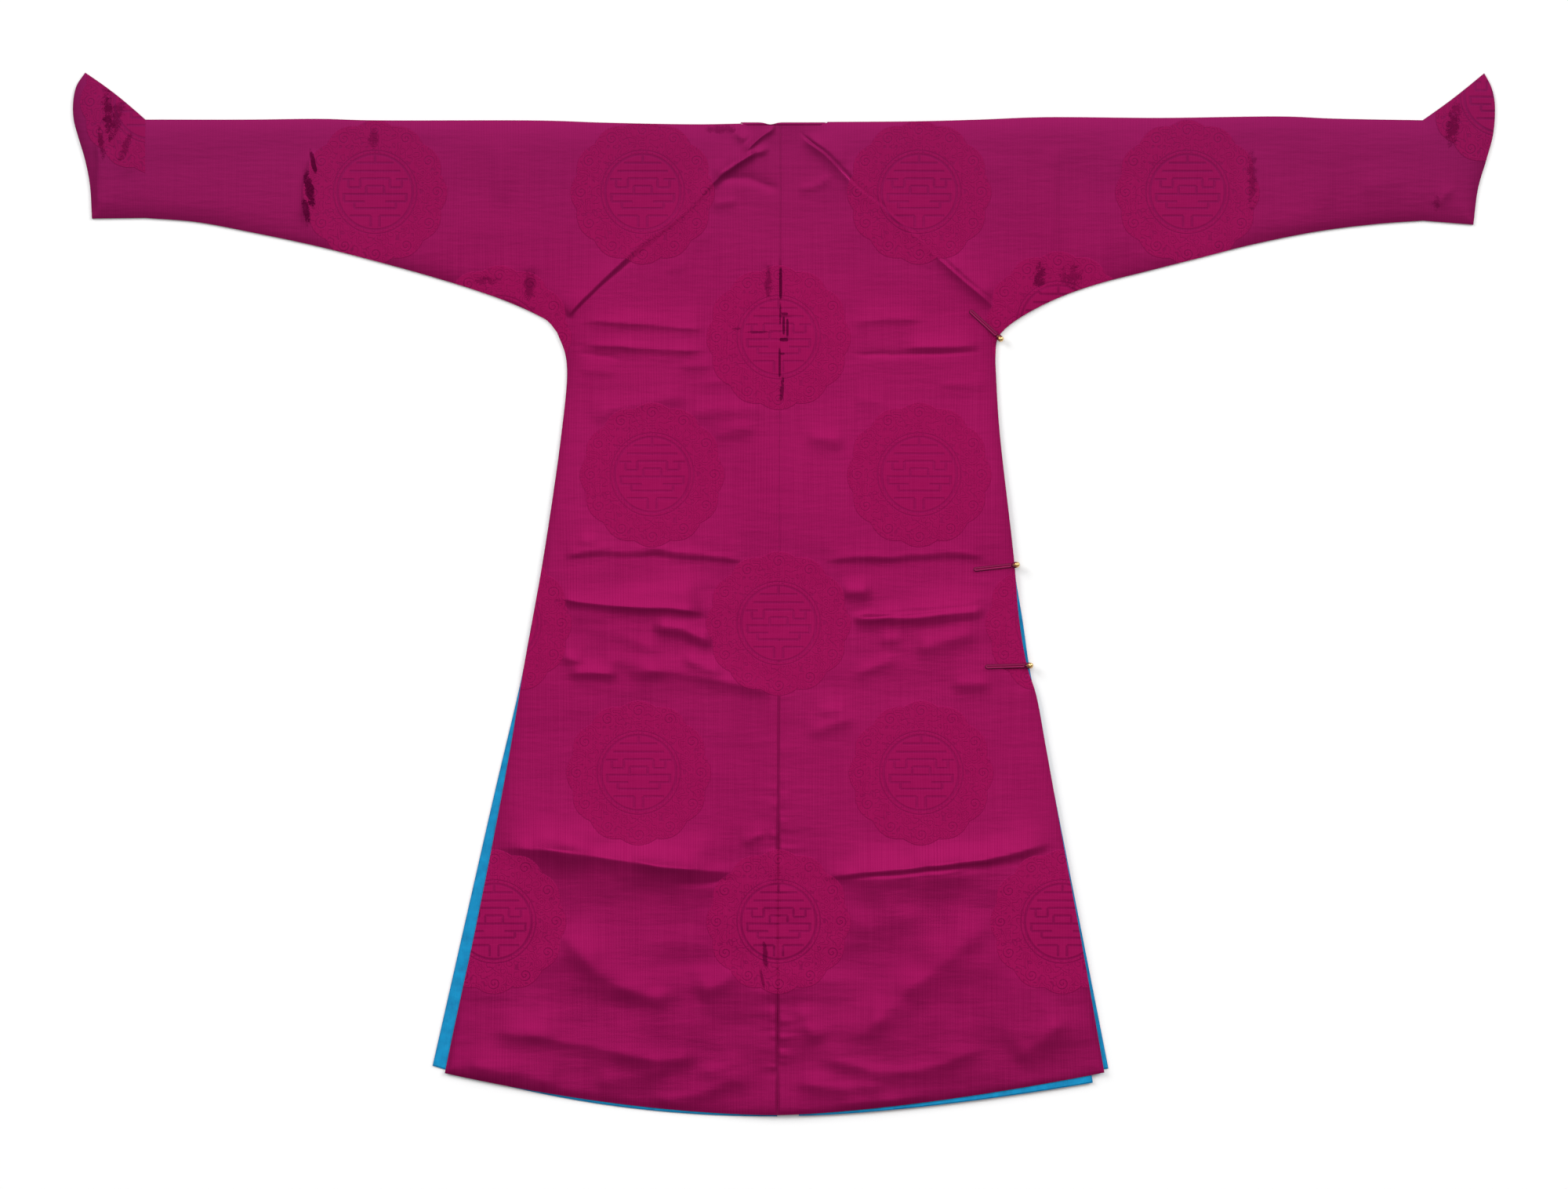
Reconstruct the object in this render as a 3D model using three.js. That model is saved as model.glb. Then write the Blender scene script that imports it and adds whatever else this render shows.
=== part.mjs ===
// A man's lined silk robe of the Qing riding cut, laid out flat on its front, so that its back shows.
// It lies in the XY plane with the shoulders towards +Y and the hem towards -Y, and rests on z = 0.
//
// Every panel is a wall of even thickness over a pattern piece. The pieces lie on each other in the
// order in which the real garment folds together: the left front and the outer overlap lie on the
// ground, then their lining, then the right front with its inner flap, and the back lies on top.

import * as THREE from 'three';

// Driving dimensions, in millimetres
const CLOTH = 1;
const GAP = 0.3;
const LAYER = CLOTH + GAP;
const BODY_LENGTH = 1471;
const CUFF_TIP_RISE = 73;
const SHOULDER_Y = (BODY_LENGTH - CUFF_TIP_RISE) / 2;
const CENTRE_SEAM = { top: 5, hem: 10 };
const SLEEVE_SEAM = 694;
const CUFF_SEAM = 945;
const LINING_TOP = 590;
const LINING_INSET = 1.5;

// No part of a sleeve lies lower than this
const SLEEVE_ENDS = 450;

// The back lifts off the sheets below it by this much, and loses that lift over a roll at each edge
const AIR = 2.4;
const EDGE_ROLL = 14;

// The round neck: the hole is cut in the front, and the back only dips to it
const NECK = { halfWidth: 64, depth: 75, backDip: 5, bindingWidth: 4, clear: 0.4, sides: 7 };

// Where the inner flap's free edge lies, to the right of the middle
const FLAP_EDGE = { top: 18, hem: 22 };

// Outlines. "out" runs sideways from the middle of the span, "drop" down from the shoulder line.
const HALVES = {
  left: {
    sign: -1,
    shoulder: [
      { out: 64, drop: 2.5 },
      { out: 128, drop: 3.5 },
      { out: 267, drop: 1 },
      { out: 354, drop: -2 },
      { out: 615, drop: -2.5 },
      { out: 684, drop: -4.5 },
      { out: 789, drop: -3.5 },
      { out: CUFF_SEAM, drop: -3.5 },
    ],
    underside: [
      { out: 336, drop: 311 },
      { out: 349, drop: 295 },
      { out: 364, drop: 286 },
      { out: 406, drop: 267 },
      { out: 462, drop: 247 },
      { out: 531, drop: 226 },
      { out: 615, drop: 203 },
      { out: SLEEVE_SEAM, drop: 183 },
      { out: 789, drop: 163 },
      { out: 870, drop: 148 },
      { out: CUFF_SEAM, drop: 142 },
    ],
    creaseToUnderarm: [
      { out: 22, drop: 8 },
      { out: 98, drop: 70 },
      { out: 162, drop: 139 },
      { out: 313, drop: 283 },
      { out: 336, drop: 311 },
    ],
    cuffEdge: [
      { out: 1034, drop: -73 },
      { out: 1047, drop: -53 },
      { out: 1052, drop: -28 },
      { out: 1051, drop: -3 },
      { out: 1045, drop: 20 },
      { out: 1034, drop: 57 },
      { out: 1027, drop: 94 },
      { out: 1024, drop: 143 },
    ],
    cuffBow: 3,
  },
  right: {
    sign: 1,
    shoulder: [
      { out: 64, drop: 0 },
      { out: 197, drop: -1 },
      { out: 290, drop: -3.5 },
      { out: 383, drop: -7 },
      { out: 557, drop: -6 },
      { out: 742, drop: -8 },
      { out: 812, drop: -5 },
      { out: CUFF_SEAM, drop: -2.5 },
    ],
    underside: [
      { out: 327, drop: 306 },
      { out: 341, drop: 295 },
      { out: 369, drop: 278 },
      { out: 411, drop: 258 },
      { out: 466, drop: 239 },
      { out: 536, drop: 221 },
      { out: 615, drop: 201 },
      { out: SLEEVE_SEAM, drop: 181 },
      { out: 789, drop: 162 },
      { out: 876, drop: 151 },
      { out: CUFF_SEAM, drop: 146 },
    ],
    creaseToUnderarm: [
      { out: 22, drop: 8 },
      { out: 87, drop: 75 },
      { out: 174, drop: 157 },
      { out: 308, drop: 281 },
      { out: 327, drop: 306 },
    ],
    cuffEdge: [
      { out: 1036, drop: -72 },
      { out: 1046, drop: -53 },
      { out: 1051, drop: -34 },
      { out: 1052, drop: -11 },
      { out: 1049, drop: 20 },
      { out: 1039, drop: 57 },
      { out: 1027, drop: 98 },
      { out: 1020, drop: 152 },
    ],
    cuffBow: -2,
  },
};

// The side of each panel below the underarm, down its slit to the hem corner, and how its hem bends:
// the hem drops to "middle" at the centre and rises to the corner as a power of the way across.
const SIDES = {
  back_left: {
    edge: [
      { out: 336, drop: 311 },
      { out: 324, drop: 342 },
      { out: 321, drop: 372 },
      { out: 329, drop: 458 },
      { out: 356, drop: 644 },
      { out: 385, drop: 806 },
      { out: 404, drop: 922 },
      { out: 430, drop: 1061 },
      { out: 458, drop: 1201 },
      { out: 488, drop: 1340 },
      { out: 502, drop: 1407 },
    ],
    middle: 1469,
    bend: 1.75,
  },
  back_right: {
    edge: [
      { out: 327, drop: 306 },
      { out: 316, drop: 320 },
      { out: 313, drop: 345 },
      { out: 314, drop: 380 },
      { out: 319, drop: 458 },
      { out: 340, drop: 644 },
      { out: 348, drop: 737 },
      { out: 360, drop: 806 },
      { out: 373, drop: 847 },
      { out: 387, drop: 922 },
      { out: 412, drop: 1061 },
      { out: 438, drop: 1201 },
      { out: 474, drop: 1406 },
    ],
    middle: 1469,
    bend: 1.5,
  },
  front_left: {
    edge: [
      { out: 336, drop: 311 },
      { out: 324, drop: 342 },
      { out: 321, drop: 372 },
      { out: 329, drop: 458 },
      { out: 356, drop: 644 },
      { out: 385, drop: 806 },
      { out: 430, drop: 1000 },
      { out: 520, drop: 1396 },
    ],
    middle: 1471,
    bend: 2.1,
  },
  front_right: {
    edge: [
      { out: 327, drop: 306 },
      { out: 316, drop: 320 },
      { out: 313, drop: 345 },
      { out: 314, drop: 380 },
      { out: 319, drop: 458 },
      { out: 340, drop: 644 },
      { out: 348, drop: 737 },
      { out: 355, drop: 806 },
      { out: 457, drop: 1421 },
    ],
    middle: 1470,
    bend: 1.5,
  },
  overlap: {
    edge: [
      { out: 308, drop: 338 },
      { out: 312, drop: 380 },
      { out: 317, drop: 458 },
      { out: 338, drop: 644 },
      { out: 353, drop: 737 },
      { out: 363, drop: 806 },
      { out: 386, drop: 922 },
      { out: 427, drop: 1131 },
      { out: 441, drop: 1201 },
      { out: 480, drop: 1400 },
    ],
    middle: 1460,
    bend: 1.5,
  },
};

// The free upper edge of the overlap, from the neck to the underarm
const OVERLAP_TOP = [
  { out: -5, drop: 77 },
  { out: 62, drop: 90 },
  { out: 132, drop: 124 },
  { out: 205, drop: 196 },
  { out: 265, drop: 276 },
  { out: 308, drop: 338 },
];

// The largest folds of the back, each a ridge from one point to another. It rises gently on the side
// of the shoulders and falls steeply on the other. Those marked creased get grid rows of their own.
const FOLDS = [
  { half: 'left', fromOut: 26, fromDrop: 14, toOut: 318, toDrop: 288, height: 3, width: 8, creased: false },
  { half: 'left', fromOut: 110, fromDrop: 339, toOut: 319, toDrop: 331, height: 2.2, width: 9, creased: true },
  { half: 'left', fromOut: 46, fromDrop: 651, toOut: 348, toDrop: 633, height: 2.2, width: 7, creased: true },
  { half: 'left', fromOut: 116, fromDrop: 729, toOut: 345, toDrop: 705, height: 4.5, width: 9, creased: true },
  { half: 'left', fromOut: 116, fromDrop: 820, toOut: 331, toDrop: 789, height: 3.5, width: 10, creased: true },
  { half: 'left', fromOut: 52, fromDrop: 1112, toOut: 432, toDrop: 1073, height: 7.5, width: 13, creased: true },
  { half: 'left', fromOut: 169, fromDrop: 1283, toOut: 319, toDrop: 1189, height: 4, width: 30, creased: false },
  { half: 'left', fromOut: 232, fromDrop: 1405, toOut: 406, toDrop: 1376, height: 3, width: 22, creased: false },
  { half: 'left', fromOut: 692, fromDrop: 150, toOut: 687, toDrop: 48, height: 2.5, width: 6, creased: false },
  { half: 'right', fromOut: 26, fromDrop: 14, toOut: 318, toDrop: 288, height: 3, width: 8, creased: false },
  { half: 'right', fromOut: 94, fromDrop: 345, toOut: 311, toDrop: 341, height: 2.2, width: 9, creased: true },
  { half: 'right', fromOut: 70, fromDrop: 651, toOut: 330, toDrop: 638, height: 2.2, width: 7, creased: true },
  { half: 'right', fromOut: 99, fromDrop: 737, toOut: 296, toDrop: 727, height: 5, width: 9, creased: true },
  { half: 'right', fromOut: 116, fromDrop: 800, toOut: 215, toDrop: 798, height: 2, width: 8, creased: true },
  { half: 'right', fromOut: 64, fromDrop: 1111, toOut: 383, toDrop: 1079, height: 7, width: 13, creased: true },
  { half: 'right', fromOut: 116, fromDrop: 1317, toOut: 275, toDrop: 1221, height: 4, width: 28, creased: false },
  { half: 'right', fromOut: 342, fromDrop: 1378, toOut: 431, toDrop: 1306, height: 3, width: 25, creased: false },
  { half: 'right', fromOut: 29, fromDrop: 1317, toOut: 143, toDrop: 1383, height: 3, width: 22, creased: false },
];
const GENTLE_SIDE = 2.2;
const STEEP_SIDE = 0.8;
const FOLD_END = 0.14;

// Grid rows of a creased fold, as multiples of its width, and the shortest step between rows
const FOLD_ROWS = [-2.4, -1.1, 0, 0.7, 1.6];
const SHORTEST_STEP = 5;

// Rows that every body panel has: just below the underarm, where its side turns, and where it rises
// over the lining
const UNDERARM_ROWS = [7, 15, 36];
const LINING_ROWS = [LINING_TOP - 34, LINING_TOP - 4];

// Grid lines as shares of the way: down the shoulder part, along its sleeve, across the body, across
// the lower sleeve, and down and across the cuff. The upper sheets have a fine grid for their folds,
// the flat ones below them a plain grid.
const ALONG_SLEEVE = [0, 0.03, 0.09, 0.17, 0.28, 0.41, 0.55, 0.69, 0.82, 0.93, 0.985, 1];
const CUFF_DOWN = [0, 0.05, 0.13, 0.24, 0.37, 0.5, 0.64, 0.79, 0.92, 1];
const FINE = {
  down: [0, 0.05, 0.14, 0.27, 0.42, 0.57, 0.72, 0.86, 0.95, 1],
  body: [0, 0.03, 0.09, 0.18, 0.29, 0.41, 0.53, 0.65, 0.77, 0.88, 0.96, 1],
  sleeve: [0, 0.04, 0.18, 0.38, 0.6, 0.8, 1],
  cuff: [0, 0.12, 0.35, 0.6, 0.82, 0.95, 1],
  longestStep: 66,
};
const PLAIN = {
  down: [0, 0.14, 0.42, 0.72, 1],
  sleeve: [0, 0.33, 0.66, 1],
  cuff: [0, 0.5, 1],
  longestStep: 130,
};

// Buttons on the wearer's right side. Each ball rests on the edge of the back with its middle just
// past it, its shank leans down to the cloth, and its doubled cord runs inwards to the tail's point.
const BUTTONS = [
  { drop: 321, pastEdge: 5, tailOut: 276, tailDrop: 280 },
  { drop: 655, pastEdge: 3.6, tailOut: 282, tailDrop: 662 },
  { drop: 804, pastEdge: 5, tailOut: 299, tailDrop: 806 },
];
const BALL_RADIUS = 4.3;
const SHANK = { radius: 1.5, length: 3.4 };
const TAIL = { radius: 1.5, spread: 1.75 };
const CORD_SIDES = 6;

// The loop's cord rises past the cloth's edge, runs in beside the ball and arches over the shank:
// "along" is measured inwards from the ball's middle, "inside" from the cloth's edge, and "height"
// from the cloth's top.
const LOOP = { radius: 0.9, along: 5.7, reach: 3.2, height: 1.3, archHeight: 3.8 };
const LOOP_ARM = [
  { inside: -3, aside: 3.5, height: -0.9 },
  { inside: -1.9, aside: 3.5, height: 0.55 },
  { inside: 0, aside: 3.5, height: 1.2 },
];

const point = ({ out, drop }) => new THREE.Vector2(out, drop);
const mix = (a, b, share) => a + (b - a) * share;
const smooth = (from, to, value) => THREE.MathUtils.smoothstep(value, from, to);

// A smooth line through the rows of a table, as a function of a share from 0 to 1
function lineThrough(rows) {
  const stops = rows.map(({ out, drop }) => new THREE.Vector3(out, drop, 0));
  const curve = new THREE.CatmullRomCurve3(stops, false, 'centripetal');
  return (share) => {
    const { x, y } = curve.getPoint(share);
    return new THREE.Vector2(x, y);
  };
}

// Where a line that only runs one way reaches a value of x or y, found by halving
function whereLine(line, axis, value) {
  let low = 0;
  let high = 1;
  const rising = line(1)[axis] > line(0)[axis];
  for (let turn = 0; turn < 30; turn += 1) {
    const middle = (low + high) / 2;
    if (line(middle)[axis] < value === rising) low = middle;
    else high = middle;
  }
  return line((low + high) / 2);
}

// The part of a line between two values of x or y, as a line of its own
function stretchOf(line, axis, from, to) {
  return (share) => whereLine(line, axis, mix(from, to, share));
}

const straight = (a, b) => (share) => a.clone().lerp(b, share);

// The surface between four lines: first and last run down, top and bottom run across
function coons(first, last, top, bottom) {
  return (across, down) => {
    const sides = first(down).lerp(last(down), across);
    const ends = top(across).lerp(bottom(across), down);
    const corners = top(0).lerp(bottom(0), down).lerp(top(1).lerp(bottom(1), down), across);
    return sides.add(ends).sub(corners);
  };
}

// A pattern piece in plan: x runs to the right and y is the drop. Neighbouring patches share points.
class Pattern {
  constructor(sign = 1) {
    this.sign = sign;
    this.points = [];
    this.faces = [];
    this.known = new Map();
  }

  add({ x, y }) {
    const key = `${Math.round(x * 500)},${Math.round(y * 500)}`;
    if (!this.known.has(key)) {
      this.known.set(key, this.points.length);
      this.points.push(new THREE.Vector2(this.sign * x, y));
    }
    return this.known.get(key);
  }

  face(a, b, c) {
    if (a === b || b === c || c === a) return;
    const [p, q, r] = [a, b, c].map((i) => this.points[i]);
    const turn = (q.x - p.x) * (p.y - r.y) - (p.y - q.y) * (r.x - p.x);
    this.faces.push(turn > 0 ? [a, b, c] : [a, c, b]);
  }

  grid(rows) {
    const ids = rows.map((row) => row.map((p) => this.add(p)));
    for (let j = 1; j < ids.length; j += 1) {
      for (let i = 1; i < ids[j].length; i += 1) {
        this.face(ids[j - 1][i - 1], ids[j - 1][i], ids[j][i]);
        this.face(ids[j - 1][i - 1], ids[j][i], ids[j][i - 1]);
      }
    }
    return this;
  }
}

const gridOf = (surface, across, down) => down.map((v) => across.map((u) => surface(u, v)));
const evenly = (count) => Array.from({ length: count + 1 }, (_, i) => i / count);

// A closed wall over a pattern piece: "underside" gives its lower height at each place
function wall(pattern, underside) {
  const low = pattern.points.map(
    ({ x, y }) => new THREE.Vector3(x, SHOULDER_Y - y, underside(x, y)),
  );
  const high = low.map((p) => new THREE.Vector3(p.x, p.y, p.z + CLOTH));
  const count = low.length;
  const directed = new Set();
  const index = [];
  for (const [a, b, c] of pattern.faces) {
    index.push(a + count, b + count, c + count, a, c, b);
    directed.add(`${a},${b}`).add(`${b},${c}`).add(`${c},${a}`);
  }
  for (const edge of directed) {
    const [a, b] = edge.split(',').map(Number);
    if (!directed.has(`${b},${a}`)) index.push(a, b, b + count, a, b + count, a + count);
  }
  const geometry = new THREE.BufferGeometry().setFromPoints([...low, ...high]);
  geometry.setIndex(index);
  geometry.computeVertexNormals();
  return geometry;
}

// The lines of one half: the shoulder, the sleeve's underside and the cuff
function linesOf(half) {
  const { shoulder, underside, cuffEdge, cuffBow } = HALVES[half];
  const shoulderLine = lineThrough(shoulder);
  const under = lineThrough(underside);
  const cuff = lineThrough(cuffEdge);
  const [foldStart, tip, corner, seamEnd] = [shoulderLine(1), cuff(0), cuff(1), under(1)];
  const bowed = (share) => {
    const p = foldStart.clone().lerp(tip, share);
    p.y -= cuffBow * Math.sin(Math.PI * share);
    return p;
  };
  return {
    shoulder: shoulderLine,
    underside: under,
    cuffTop: bowed,
    cuffEdge: cuff,
    cuffBottom: straight(seamEnd, corner),
    crease: lineThrough(HALVES[half].creaseToUnderarm),
  };
}

const LINES = { left: linesOf('left'), right: linesOf('right') };
const halfOf = (name) => (name.includes('left') ? 'left' : 'right');

// The hem of a panel as a line from its middle to its corner
function hemOf(name, middleOut) {
  const { edge, middle, bend } = SIDES[name];
  const corner = edge.at(-1);
  return (share) =>
    new THREE.Vector2(mix(middleOut, corner.out, share), mix(middle, corner.drop, share ** bend));
}

const centreSeam = (half) => (drop) => {
  const offset = mix(CENTRE_SEAM.top, CENTRE_SEAM.hem, drop / BODY_LENGTH);
  return half === 'left' ? offset + GAP / 2 : -offset + GAP / 2;
};

const flapEdge = (drop) => mix(FLAP_EDGE.top, FLAP_EDGE.hem, drop / BODY_LENGTH);

// The back's neck edge dips below the shoulder line, to leave room for the binding
function topOfBack(half) {
  const { shoulder, crease } = LINES[half];
  const from = crease(0).x;
  return (share) => {
    const out = mix(from, SLEEVE_SEAM - GAP / 2, share);
    const line = whereLine(shoulder, 'x', Math.max(out, NECK.halfWidth)).y;
    const dip = (NECK.backDip - line) * (1 - smooth(NECK.halfWidth - 4, NECK.halfWidth + 6, out));
    return new THREE.Vector2(out, line + dip);
  };
}

// Row lines of a body panel below the underarm, as the drop at the middle and at the side
function bodyRows(name, folds, longestStep) {
  const { edge, middle } = SIDES[name];
  const start = edge[0].drop;
  const rows = [{ middle: start, side: start }];
  const always = [...UNDERARM_ROWS.map((below) => start + below), ...LINING_ROWS];
  const candidates = always.map((drop) => ({ middle: drop, side: drop }));
  for (const fold of folds) {
    const slope = (fold.toDrop - fold.fromDrop) / (fold.toOut - fold.fromOut);
    const atMiddle = fold.fromDrop - slope * fold.fromOut;
    const atSide = fold.toDrop + slope * (whereLine(lineThrough(edge), 'y', fold.toDrop).x - fold.toOut);
    for (const step of FOLD_ROWS) {
      candidates.push({ middle: atMiddle + step * fold.width, side: atSide + step * fold.width });
    }
  }
  candidates.push({ middle, side: edge.at(-1).drop });
  candidates.sort((a, b) => a.middle + a.side - b.middle - b.side);
  for (const row of candidates) {
    const last = rows.at(-1);
    const step = Math.min(row.middle - last.middle, row.side - last.side);
    if (step < SHORTEST_STEP) continue;
    const gap = Math.max(row.middle - last.middle, row.side - last.side);
    const parts = Math.ceil(gap / longestStep);
    for (let i = 1; i <= parts; i += 1) {
      const share = i / parts;
      rows.push({ middle: mix(last.middle, row.middle, share), side: mix(last.side, row.side, share) });
    }
  }
  return rows;
}

// Body patch: rows from the middle line to the side, the last of them bent as the hem is
function bodyGrid(name, middleOut, rows, across) {
  const { edge, bend, middle } = SIDES[name];
  const side = lineThrough(edge);
  const bendFrom = rows.length > 12 ? rows.at(-8).middle : 0.6 * middle;
  return rows.map((row) => {
    const sidePoint = whereLine(side, 'y', Math.min(row.side, edge.at(-1).drop));
    const power = mix(1, bend, smooth(bendFrom, middle, row.middle));
    const from = middleOut(row.middle);
    return across.map(
      (u) => new THREE.Vector2(mix(from, sidePoint.x, u), mix(row.middle, row.side, u ** power)),
    );
  });
}

// One half of the back: the shoulder part with its sleeve, above the crease from neck to underarm,
// and the body part below that crease
function backPattern(half) {
  const { underside, crease } = LINES[half];
  const pattern = new Pattern(HALVES[half].sign);
  const seamOut = SLEEVE_SEAM - GAP / 2;
  const top = topOfBack(half);
  const bottom = stretchOfUnderside(underside, seamOut);
  const first = (down) => (down === 0 ? top(0) : crease(down));
  pattern.grid(gridOf(coons(first, straight(top(1), bottom(1)), top, bottom), ALONG_SLEEVE, FINE.down));
  const middleOut = centreSeam(half);
  const upper = FINE.down.map((down) => {
    const edge = first(down);
    const from = middleOut(edge.y);
    return FINE.body.map((u) => new THREE.Vector2(mix(from, edge.x, u), edge.y));
  });
  const folds = FOLDS.filter((fold) => fold.half === half && fold.creased);
  const rows = bodyRows(`back_${half}`, folds, FINE.longestStep);
  const lower = bodyGrid(`back_${half}`, middleOut, rows, FINE.body);
  return pattern.grid([...upper, ...lower.slice(1)]);
}

// The sleeve's underside from the underarm to a seam, closer together where it turns
function stretchOfUnderside(underside, seamOut) {
  return (share) => whereLine(underside, 'x', mix(underside(0).x, seamOut, share ** 1.3));
}

// The round neck's edge in one half, from the middle to the shoulder as an angle grows to a right
// angle, drawn in by an inset for the binding inside it
function neckEdge(name, middleOut, inset = 0) {
  const { x, y } = whereLine(LINES[halfOf(name)].shoulder, 'x', NECK.halfWidth);
  const from = middleOut(NECK.depth);
  return (angle) =>
    new THREE.Vector2(
      mix(from, x - inset, Math.sin(angle)),
      mix(y, NECK.depth - inset, Math.cos(angle)),
    );
}

// A front half: the same shape, with the round neck cut out of it
function frontPattern(name, middleOut) {
  const half = halfOf(name);
  const { shoulder, underside } = LINES[half];
  const pattern = new Pattern(HALVES[half].sign);
  const seamOut = SLEEVE_SEAM - GAP / 2;
  const neckPoint = whereLine(shoulder, 'x', NECK.halfWidth);
  const top = (share) => whereLine(shoulder, 'x', mix(NECK.halfWidth, seamOut, share));
  const bottom = stretchOfUnderside(underside, seamOut);
  const first = straight(neckPoint, underside(0));
  pattern.grid(gridOf(coons(first, straight(top(1), bottom(1)), top, bottom), ALONG_SLEEVE, PLAIN.down));
  const underarmDrop = underside(0).y;
  const quarter = evenly(NECK.sides).map((u) => (u * Math.PI) / 2);
  const neck = neckEdge(name, middleOut);
  const upper = PLAIN.down.map((down) => {
    if (down === 0) return quarter.map(neck);
    const edge = first(down);
    const middle = mix(NECK.depth, underarmDrop, down);
    const from = middleOut(middle);
    return quarter.map((angle) => {
      const drop = mix(edge.y, middle, Math.cos(angle));
      return new THREE.Vector2(mix(from, edge.x, Math.sin(angle)), drop);
    });
  });
  const rows = bodyRows(name, [], PLAIN.longestStep);
  const lower = bodyGrid(name, middleOut, rows, quarter.map(Math.sin));
  return pattern.grid([...upper, ...lower.slice(1)]);
}

// The outer front panel that closes at the wearer's right side
function overlapPattern() {
  const middle = centreSeam('right');
  const topLine = lineThrough(OVERLAP_TOP);
  const side = lineThrough(SIDES.overlap.edge);
  const start = topLine(0);
  const first = (down) => {
    const drop = mix(start.y, SIDES.overlap.middle, down);
    return new THREE.Vector2(middle(drop), drop);
  };
  const top = (share) => (share === 0 ? first(0) : topLine(share));
  const last = (down) => whereLine(side, 'y', mix(side(0).y, side(1).y, down));
  const surface = coons(first, last, top, hemOf('overlap', first(1).x));
  return new Pattern().grid(gridOf(surface, evenly(8), evenly(9)));
}

// A lining from the hips down, just inside its panel's edges
function liningPattern(name, middleOut) {
  const half = halfOf(name);
  const { edge, middle } = SIDES[name];
  const side = lineThrough(edge);
  const corner = edge.at(-1);
  const last = (down) => {
    const p = whereLine(side, 'y', mix(LINING_TOP, corner.drop, down));
    return new THREE.Vector2(p.x - LINING_INSET, p.y - LINING_INSET * down);
  };
  const first = (down) => {
    const drop = mix(LINING_TOP, middle - LINING_INSET, down);
    return new THREE.Vector2(middleOut(drop), drop);
  };
  const hem = hemOf(name, first(1).x);
  const bottom = (share) => {
    const p = hem(share);
    return new THREE.Vector2(mix(first(1).x, last(1).x, share), p.y - LINING_INSET);
  };
  const surface = coons(first, last, straight(first(0), last(0)), bottom);
  return new Pattern(HALVES[half].sign).grid(gridOf(surface, evenly(5), evenly(8)));
}

// The lower sleeve, between the sleeve seam and the cuff seam
function sleevePattern(half, { down, sleeve }) {
  const { shoulder, underside } = LINES[half];
  const [from, to] = [SLEEVE_SEAM + GAP / 2, CUFF_SEAM - GAP / 2];
  const top = stretchOf(shoulder, 'x', from, to);
  const bottom = stretchOf(underside, 'x', from, to);
  const surface = coons(straight(top(0), bottom(0)), straight(top(1), bottom(1)), top, bottom);
  return new Pattern(HALVES[half].sign).grid(gridOf(surface, sleeve, down));
}

// The flared cuff, folded along its upper edge and open along its outer edge
function cuffPattern(half, { cuff }) {
  const { cuffTop, cuffEdge, cuffBottom } = LINES[half];
  const inFrom = (line) => (share) => line(mix(0.002, 1, share));
  const [top, bottom] = [inFrom(cuffTop), inFrom(cuffBottom)];
  const surface = coons(straight(top(0), bottom(0)), cuffEdge, top, bottom);
  return new Pattern(HALVES[half].sign).grid(gridOf(surface, cuff, CUFF_DOWN));
}

// Points along the outline of one half, in the order shoulder, cuff, underside, side and hem
function outlineOf(half) {
  const { shoulder, underside, cuffTop, cuffEdge, cuffBottom } = LINES[half];
  const side = lineThrough(SIDES[`back_${half}`].edge);
  const hem = hemOf(`back_${half}`, 0);
  const lines = [shoulder, cuffTop, cuffEdge, cuffBottom, underside, side, hem];
  return lines.map((line) => evenly(40).map(line));
}

const OUTLINES = { left: outlineOf('left'), right: outlineOf('right') };

function distanceToSegment(p, a, b) {
  const along = b.clone().sub(a);
  const share = THREE.MathUtils.clamp(p.clone().sub(a).dot(along) / along.lengthSq(), 0, 1);
  return p.distanceTo(a.clone().addScaledVector(along, share));
}

function distanceToEdge(half, p) {
  let nearest = Infinity;
  for (const line of OUTLINES[half]) {
    for (let i = 1; i < line.length; i += 1) {
      nearest = Math.min(nearest, distanceToSegment(p, line[i - 1], line[i]));
    }
  }
  return nearest;
}

// How high the folds of one half stand at a place
function foldLift(half, p) {
  let lift = 0;
  for (const fold of FOLDS.filter((row) => row.half === half)) {
    const from = new THREE.Vector2(fold.fromOut, fold.fromDrop);
    const along = new THREE.Vector2(fold.toOut, fold.toDrop).sub(from);
    const offset = p.clone().sub(from);
    const share = offset.dot(along) / along.lengthSq();
    const across = along.cross(offset) / along.length() / fold.width;
    const spread = across < 0 ? GENTLE_SIDE : STEEP_SIDE;
    const ends = smooth(-FOLD_END, FOLD_END, share) * (1 - smooth(1 - FOLD_END, 1 + FOLD_END, share));
    lift += fold.height * ends * Math.exp(-((across / spread) ** 2));
  }
  return lift;
}

// Where the lining's thickness has been taken up, and where the right front has reached the ground:
// it lies on the overlap all down the body, and comes down along its sleeve
const lined = (drop) => smooth(LINING_TOP - 34, LINING_TOP - 4, drop);
const onOverlap = (x, drop) => (drop < SLEEVE_ENDS ? 1 - smooth(345, 430, x) : 1);

// How many sheets lie under the back at a place
function sheetsUnderBack(x, drop) {
  const flap = smooth(-120, FLAP_EDGE.top - 8, x) * onOverlap(x, drop);
  return (1 + lined(drop)) * (1 + flap);
}

function backUnderside(x, drop) {
  const half = x < -CENTRE_SEAM.top + 0.2 ? 'left' : 'right';
  const p = new THREE.Vector2(Math.abs(x), drop);
  const edge = 1 - Math.exp(-distanceToEdge(half, p) / EDGE_ROLL);
  return LAYER * sheetsUnderBack(x, drop) + (AIR + foldLift(half, p)) * edge;
}

const rightFrontUnderside = (x, drop) => LAYER * onOverlap(x, drop) * (1 + lined(drop));

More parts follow.
